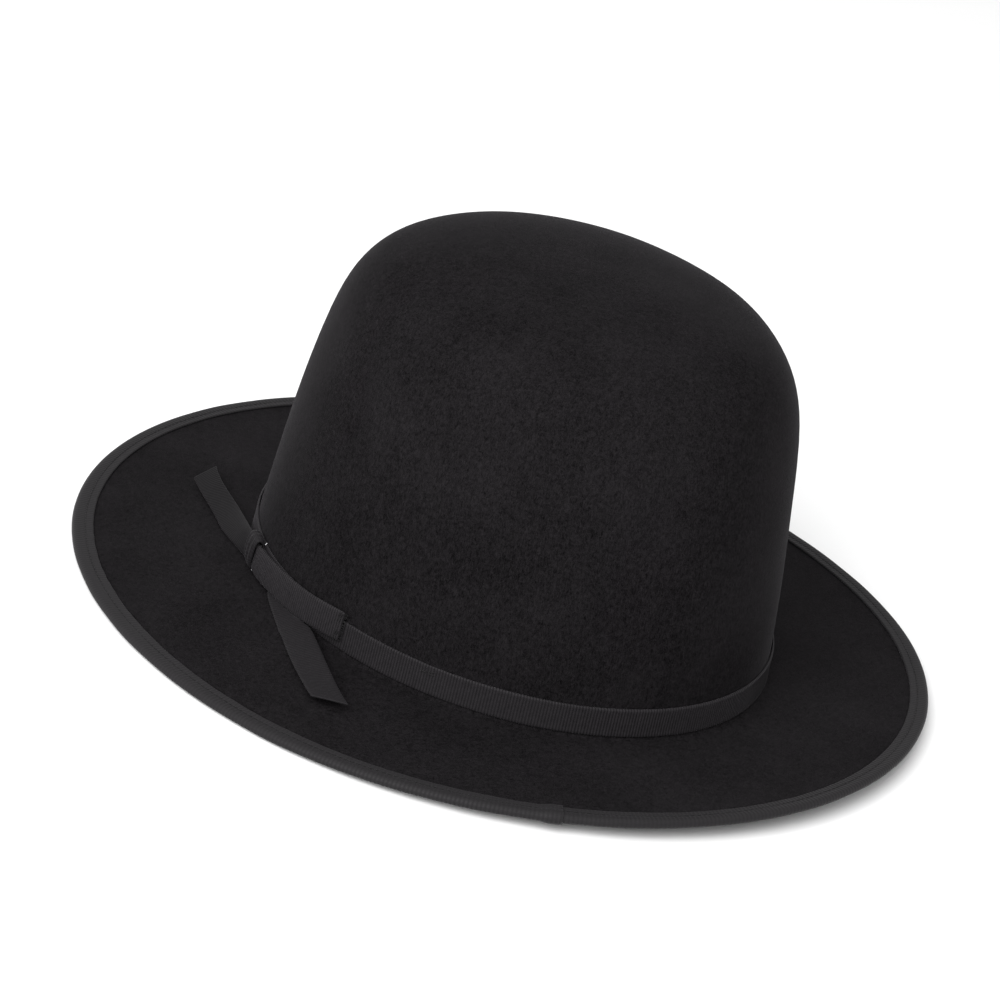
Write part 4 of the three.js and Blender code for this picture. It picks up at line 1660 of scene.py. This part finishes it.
@dataclass
class Sweatband:
    """Leather band inside the hat, sewn to a tape that wraps the reed, in millimetres."""

    shop: Workshop
    leather: float = 1.0
    head_face: float = 4.4
    tape: float = 0.4
    tape_depth: float = 2.7
    stitch_height: float = 6.4
    stitch_pitch: float = 2.6
    thread: float = 0.4
    tag_angle: float = 140.0
    tag_half: float = 9.0

    def patch(
        self,
        name: str,
        outs: tuple[np.ndarray, np.ndarray],
        turns: np.ndarray,
        heights: np.ndarray,
        across: np.ndarray,
    ) -> bpy.types.Object:
        """A flat patch on the leather, with a front and a back.

        Args:
            name: The piece's name.
            outs: Radii of the front and of the back.
            turns: Angles across the patch.
            heights: Heights up the patch.
            across: Millimetres across the front and on across the back, with one more to wrap.

        Returns:
            The closed patch.
        """
        place = self.shop.block.place
        front, back = (place(out, turns[None, :], heights[:, None]) for out in outs)
        points = np.concatenate([front, back[:, ::-1]], axis=1)
        return capped(name, np.transpose(points, (1, 0, 2)), across, heights)

    def build_leather(self) -> None:
        """The leather, with a creased line under its top edge and a soft roll at the brow."""
        block = self.shop.block
        low, high = (corner.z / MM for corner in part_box("sweatband"))
        near_top = [0.9, 0.915, 0.93, 0.945, 0.97, 0.99, 1.0]
        shares = np.concatenate([[0.0, 0.01], np.linspace(0.03, 0.86, 16), near_top])
        heights = low + (high - low) * shares
        wall = block.wall(heights)
        round_edge = 0.25 * ((shares == 0) | (shares == 1))
        crease = 0.22 * bell(shares, 0.922, 0.012)
        inner = wall - self.head_face + crease + round_edge
        outer = wall - self.head_face + self.leather - round_edge
        radii = np.concatenate([outer, inner[::-1]])
        tall = np.concatenate([heights, heights[::-1]])
        angles = block.even_angles(288)
        places = block.grid(radii, angles, tall)
        free = smooth((tall - low) / (high - low) * 1.2 - 0.2)[:, None]
        wave = 0.55 * free * unevenness(places * [1, 1, 0.3], 60.0)
        turned = np.where(np.arange(len(radii)) < len(outer), 1.0, -1.0)[:, None]
        piece = ring("sweatband_leather", block, (radii, tall), angles, wave * turned * 0.5)
        self.shop.wardrobe.dress(piece, Slot.LEATHER, ["sweatband"])

    def build_tape(self) -> None:
        """The tape folded round the reed and sewn up behind the leather."""
        block = self.shop.block
        reed_low, reed_high = (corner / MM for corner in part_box("sweatband_reed"))
        tape_low, tape_high = (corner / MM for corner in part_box("sweatband_reed_tape"))
        centre_z = (reed_low.z + reed_high.z) / 2
        reed_radius = (reed_high.z - reed_low.z) / 2
        centre_r = block.round_radius - 4.1
        turn = np.linspace(math.pi, TURN - 0.15, 12)
        inner = reed_radius + 0.2
        outer = inner + self.tape
        climb = np.linspace(centre_z + 0.2, tape_high.z, 8)
        wall = block.wall(climb) - self.tape_depth
        back = turn[::-1]
        radii, heights = join_sections(
            (centre_r + outer * np.cos(turn), centre_z + outer * np.sin(turn)),
            (wall, climb),
            (wall[::-1] - self.tape, climb[::-1]),
            (centre_r + inner * np.cos(back), centre_z + inner * np.sin(back)),
        )
        heights = np.maximum(heights, tape_low.z)
        piece = ring("reed_tape", block, (radii, heights), block.even_angles(240))
        self.shop.wardrobe.dress(piece, Slot.TAPE, ["sweatband_reed_tape"])
        wide = (tape_high.z - centre_z + outer * math.pi) * MM
        flat = (max(wide, 0.01), block.girth(centre_r, 4.0) * MM)

    def build_stitches(self) -> None:
        """The row that joins leather and tape."""
        block = self.shop.block
        on_leather = block.wall(self.stitch_height) - self.head_face - 0.02
        row = block.place(on_leather, block.even_angles(480), self.stitch_height)
        self.shop.sew("sweatband_stitches", [row], self.stitch_pitch, self.thread, ["sweatband_stitch"])

    def build_seam(self) -> None:
        """The covering strip over the butted ends at the back, with its zigzag."""
        block = self.shop.block
        low, high = (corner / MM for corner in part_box("sweatband_seam"))
        heights = np.linspace(low.z, high.z, 24)
        half = (high.x - low.x) / 2
        across = np.linspace(-1, 1, 9)
        puffed = 0.18 + 0.3 * (1 - across**4)
        turns = math.pi / 2 - across * half / block.along_crown(math.pi / 2)
        wall = block.wall(heights) - self.head_face
        outs = (wall[:, None] - puffed[None, :], wall[:, None] + 0.05)
        marks = np.concatenate([across, across[::-1] + 2, [3.0]]) * half
        piece = self.patch("sweatband_seam_strip", outs, turns, heights, marks)
        self.shop.wardrobe.dress(piece, Slot.LEATHER, ["sweatband_seam"])
        zig = np.linspace(low.z + 1.5, high.z - 1.5, 25)
        swing = np.where(np.arange(len(zig)) % 2 == 0, -1.0, 1.0) * (half - 0.9)
        seam_turns = math.pi / 2 - swing / block.along_crown(math.pi / 2)
        line = block.place(block.wall(zig) - self.head_face - 0.62, seam_turns, zig)
        self.shop.sew("seam_zigzag", [line], 1.7, 0.34, looped=False, reach=0.95)

    def build_small_bow(self) -> None:
        """The little ribbon bow that marks the back of the hat."""
        block = self.shop.block
        low, high = (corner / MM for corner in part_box("sweatband_bow"))
        wing, middle = (high.x - low.x) / 2, (high.z + low.z) / 2
        spread = (high.z - low.z) / 2
        wall = float(block.wall(middle)) - self.head_face - 0.7
        narrow = Ribbon(width=10.0, thickness=0.35, rib=0.8, rib_height=0.03)
        out_and_round = ((0.05, 0.2), (0.4, 0.1), (0.8, 0.1), (0.98, 0.5))
        back_again = ((0.98, 1.2), (0.8, 1.6), (0.4, 1.3), (0.05, 0.9))
        parts = []
        for side in (-1, 1):
            stations = smooth_rail(out_and_round + back_again, np.linspace(0, 1, 60))
            across, deep = side * stations[:, 0] * wing, stations[:, 1]
            half = 1.3 + (spread - 1.3) * smooth(stations[:, 0] * 1.2)
            turns = math.pi / 2 - across / block.along_crown(math.pi / 2)
            rails = [block.place(wall - deep, turns, middle + share * half) for share in (1, 0, -1)]
            parts.append(narrow.weave(f"wing_{side + 1}", rails))
        round_it = np.linspace(0.0, TURN * 0.98, 40)
        turns = math.pi / 2 - np.array([-1.6, 0.0, 1.6]) / block.along_crown(math.pi / 2)
        deep, tall = wall - 0.75 - 1.15 * np.cos(round_it), middle + 1.9 * np.sin(round_it)
        parts.append(narrow.weave("wing_wrap", [block.place(deep, turn, tall) for turn in turns]))
        bow = join_pieces("small_bow", parts)
        self.shop.wardrobe.dress(bow, Slot.BAND, ["sweatband_bow"])

    def build_tag(self) -> None:
        """A blank cloth size tag caught behind the stitching."""
        block = self.shop.block
        low, high = (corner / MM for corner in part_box("size_tag"))
        angle = math.radians(self.tag_angle)
        across = np.linspace(-1, 1, 25)
        heights = np.linspace(low.z, high.z, 15)
        turns = angle - across * self.tag_half / block.along_crown(angle)
        climbed = ((heights - low.z) / (high.z - low.z))[:, None]
        curl = 0.35 * np.abs(across[None, :]) ** 6 + 0.25 * climbed**4
        wall = block.wall(heights)[:, None] - self.head_face - 0.15
        marks = np.concatenate([across + 1, across[::-1] + 3, [4.0]]) * self.tag_half
        piece = self.patch("blank_size_tag", (wall - 0.3 - curl, wall - curl), turns, heights, marks)
        self.shop.wardrobe.dress(piece, Slot.TAG, ["size_tag"])

    def build(self) -> None:
        """Builds the sweatband and what is sewn to it."""
        self.build_leather()
        self.build_tape()
        self.build_stitches()
        self.build_seam()
        self.build_small_bow()
        self.build_tag()


@dataclass
class Lining:
    """Satin lining: a gathered wall, an oval tip and the piping between them."""

    shop: Workshop
    depth: float = 2.7
    satin: float = 0.4
    bottom: float = 12.0
    seam: float = 0.872
    seam_gap: float = 0.004
    piping: float = 0.7
    pleats: int = 46
    pleat_depth: float = 0.75
    oval: float = 1.17
    tip_half_width: float = 88.0
    tip_half_length: float = 103.0
    tip_back: float = 6.0

    def wall_or_tip(self, name: str, low: float, high: float, steps: int, relief: Field) -> bpy.types.Object:
        """One panel of satin between two shares of the crown's height.

        Args:
            name: The piece's name.
            low: Share of the height where it starts.
            high: Share of the height where it ends.
            steps: Steps up the panel.
            relief: How far places stand in from the panel.

        Returns:
            The panel, closed all round.
        """
        block = self.shop.block
        face_r, face_z = block.shell(self.depth, low, high, steps)
        back_r, back_z = block.shell(self.depth + self.satin, low, high, steps)
        angles = block.even_angles(552)
        radii = np.concatenate([face_r, back_r[::-1]])
        heights = np.concatenate([face_z, back_z[::-1]])
        inward = np.concatenate([np.ones(steps), -np.ones(steps)])
        raised = -relief(block.grid(radii, angles, heights)) * inward[:, None]
        return ring(name, block, (radii, heights), angles, raised)

    def build(self) -> None:
        """Builds and dresses the lining."""
        block, wardrobe = self.shop.block, self.shop.wardrobe
        start = float(block.climb(self.bottom))
        top = block.crown_base + block.crown_height * self.seam

        def gathers(places: np.ndarray) -> np.ndarray:
            """Soft pleats, deepest in the middle of the wall.

            Args:
                places: Places in millimetres.

            Returns:
                How far each place stands in.
            """
            turns = np.arctan2(places[..., 1] - block.set_back, places[..., 0] * self.oval)
            rise = (places[..., 2] - self.bottom) / (top - self.bottom)
            drift = 0.7 * unevenness(places, 70.0)
            fold = 0.5 + 0.5 * np.sin(turns * self.pleats + drift)
            return self.pleat_depth * fold * np.sin(np.clip(rise, 0, 1) * math.pi) ** 0.7

        def pillow(places: np.ndarray) -> np.ndarray:
            """The tip hangs a little loose, with slight radial puckers at its seam.

            Args:
                places: Places in millimetres.

            Returns:
                How far each place stands in.
            """
            across, along = places[..., 0], places[..., 1] - self.tip_back
            flat = np.hypot(across / self.tip_half_width, along / self.tip_half_length)
            turns = np.arctan2(along, across)
            pucker = 0.3 * np.sin(turns * self.pleats) * smooth((flat - 0.4) / 0.4)
            return 1.2 * (1 - np.clip(flat / 0.8, 0, 1) ** 2) + pucker * 0.5 + 0.15

        side = self.wall_or_tip("lining_wall", start, self.seam - self.seam_gap, 42, gathers)
        wardrobe.dress(side, Slot.SATIN, ["lining_side"])
        tip = self.wall_or_tip("lining_crown_tip", self.seam + self.seam_gap, 1.0, 40, pillow)
        wardrobe.dress(tip, Slot.SATIN, ["lining_tip"])
        piping = self.build_piping()
        flat = ((top - self.bottom) * MM, block.girth(block.round_radius - self.depth, self.bottom) * MM)

    def build_piping(self) -> bpy.types.Object:
        """The satin-covered cord along the seam between wall and tip.

        Returns:
            The piping, dressed.
        """
        block = self.shop.block
        depth = self.depth + self.satin + 0.3 + self.piping
        centre_r = (block.round_radius - depth) * block.share(self.seam)
        centre_z = block.crown_base + (block.crown_height - depth) * self.seam
        turn = np.linspace(0, TURN, 13)[:-1]
        angles = block.even_angles(480)
        profile = (centre_r + self.piping * np.cos(turn), centre_z + self.piping * np.sin(turn))
        twist = 0.06 * np.cos(turn[:, None] * 2 + np.arange(len(angles))[None, :] * TURN / 6)
        piece = ring("lining_seam_piping", block, profile, angles, twist)
        return self.shop.wardrobe.dress(piece, Slot.SATIN, ["lining_piping"])


# ---- Camera, floor and light --------------------------------------------------------------


@dataclass(frozen=True)
class Softbox:
    """One large soft light, placed by its direction from the hat."""

    name: str
    azimuth: float
    elevation: float
    size: tuple[float, float]
    power: float
    distance: float = 1.6

    def hang(self, aim: Vector) -> None:
        """Hangs the light so that it faces a point.

        Args:
            aim: The point, in metres.
        """
        lamp = bpy.data.lights.new(self.name, "AREA")
        lamp.shape = "RECTANGLE"
        lamp.size, lamp.size_y = self.size
        lamp.energy = self.power
        box = bpy.data.objects.new(self.name, lamp)
        bpy.context.scene.collection.objects.link(box)
        away = direction(self.azimuth, self.elevation)
        box.location = aim + away * self.distance
        box.rotation_euler = away.to_track_quat("Z", "Y").to_euler()


def direction(azimuth: float, elevation: float) -> Vector:
    """Unit vector towards an azimuth, 0 in front and 90 on the wearer's left, and an elevation."""
    turn, rise = math.radians(azimuth), math.radians(elevation)
    return Vector((math.sin(turn) * math.cos(rise), -math.cos(turn) * math.cos(rise), math.sin(rise)))


@dataclass
class Studio:
    """Camera, pale floor and soft light."""

    azimuth: float = 127.45
    elevation: float = 25.644
    roll: float = 12.493
    distance: float = 1.5
    lens: float = 149.3
    aim: tuple[float, float, float] = (0.01172, -0.00082, 0.04599)
    floor_reach: float = 4.0
    floor_drop: float = 0.0002
    floor_tone: float = 0.86
    surround: float = 0.65

    def place_camera(self) -> None:
        """Looks down on the hat from the wearer's left and behind, rolled a little."""
        back = direction(self.azimuth, self.elevation)
        right = Vector((0, 0, 1)).cross(back).normalized()
        up = back.cross(right)
        roll = math.radians(self.roll)
        turned_right = right * math.cos(roll) + up * math.sin(roll)
        turned_up = up * math.cos(roll) - right * math.sin(roll)
        lens = bpy.data.cameras.new("camera")
        lens.lens = self.lens
        lens.sensor_width = 36
        camera = bpy.data.objects.new("camera", lens)
        bpy.context.scene.collection.objects.link(camera)
        facing = Matrix((turned_right, turned_up, back)).transposed().to_4x4()
        camera.matrix_world = Matrix.Translation(Vector(self.aim) + back * self.distance) @ facing
        bpy.context.scene.camera = camera

    def lay_floor(self) -> None:
        """A plain pale floor just under the brim."""
        mesh = bpy.data.meshes.new("floor")
        reach = self.floor_reach
        corners = [(-reach, -reach, 0), (reach, -reach, 0), (reach, reach, 0), (-reach, reach, 0)]
        mesh.from_pydata(corners, [], [(0, 1, 2, 3)])
        floor = make_piece("floor", mesh)
        floor.location.z = -self.floor_drop
        shader = Shader("pale_floor", (self.floor_tone,) * 3, 0.8)
        floor.data.materials.append(shader.material)

    def light(self) -> None:
        """A bright even surround and four softboxes."""
        world = bpy.data.worlds.new("studio")
        world.use_nodes = True
        background = world.node_tree.nodes["Background"]
        background.inputs["Color"].default_value = (1.0, 1.0, 1.0, 1.0)
        background.inputs["Strength"].default_value = self.surround
        bpy.context.scene.world = world
        for box in (
            Softbox("key", 104, 40, (1.4, 1.4), 40.0),
            Softbox("rim_left", 20, 22, (0.8, 1.2), 3.5),
            Softbox("rim_right", 228, 12, (0.6, 1.2), 5.0),
            Softbox("top", 310, 70, (1.2, 1.2), 4.0),
        ):
            box.hang(Vector(self.aim))
        bpy.context.scene.view_settings.view_transform = "Standard"


def main() -> None:
    """Builds the hat in order."""
    logging.basicConfig(level=logging.INFO, format="%(name)s: %(message)s")
    studio = Studio()
    studio.place_camera()
    studio.lay_floor()
    studio.light()
    shop = Workshop(HatBlock.from_frame(), Wardrobe(), StitchMachine())
    LOG.info("block: %s", shop.block)
    for assembly in (FeltBody, BrimBinding, HatBand, FlatBow, Sweatband, Lining):
        assembly(shop).build()
    for node, slot in (
        ("brim_wire", Slot.WIRE),
        ("brim_wire_sleeve", Slot.WIRE),
        ("sweatband_reed", Slot.REED),
    ):
        shop.wardrobe.dress_node(node, slot)


if __name__ == "__main__":
    main()
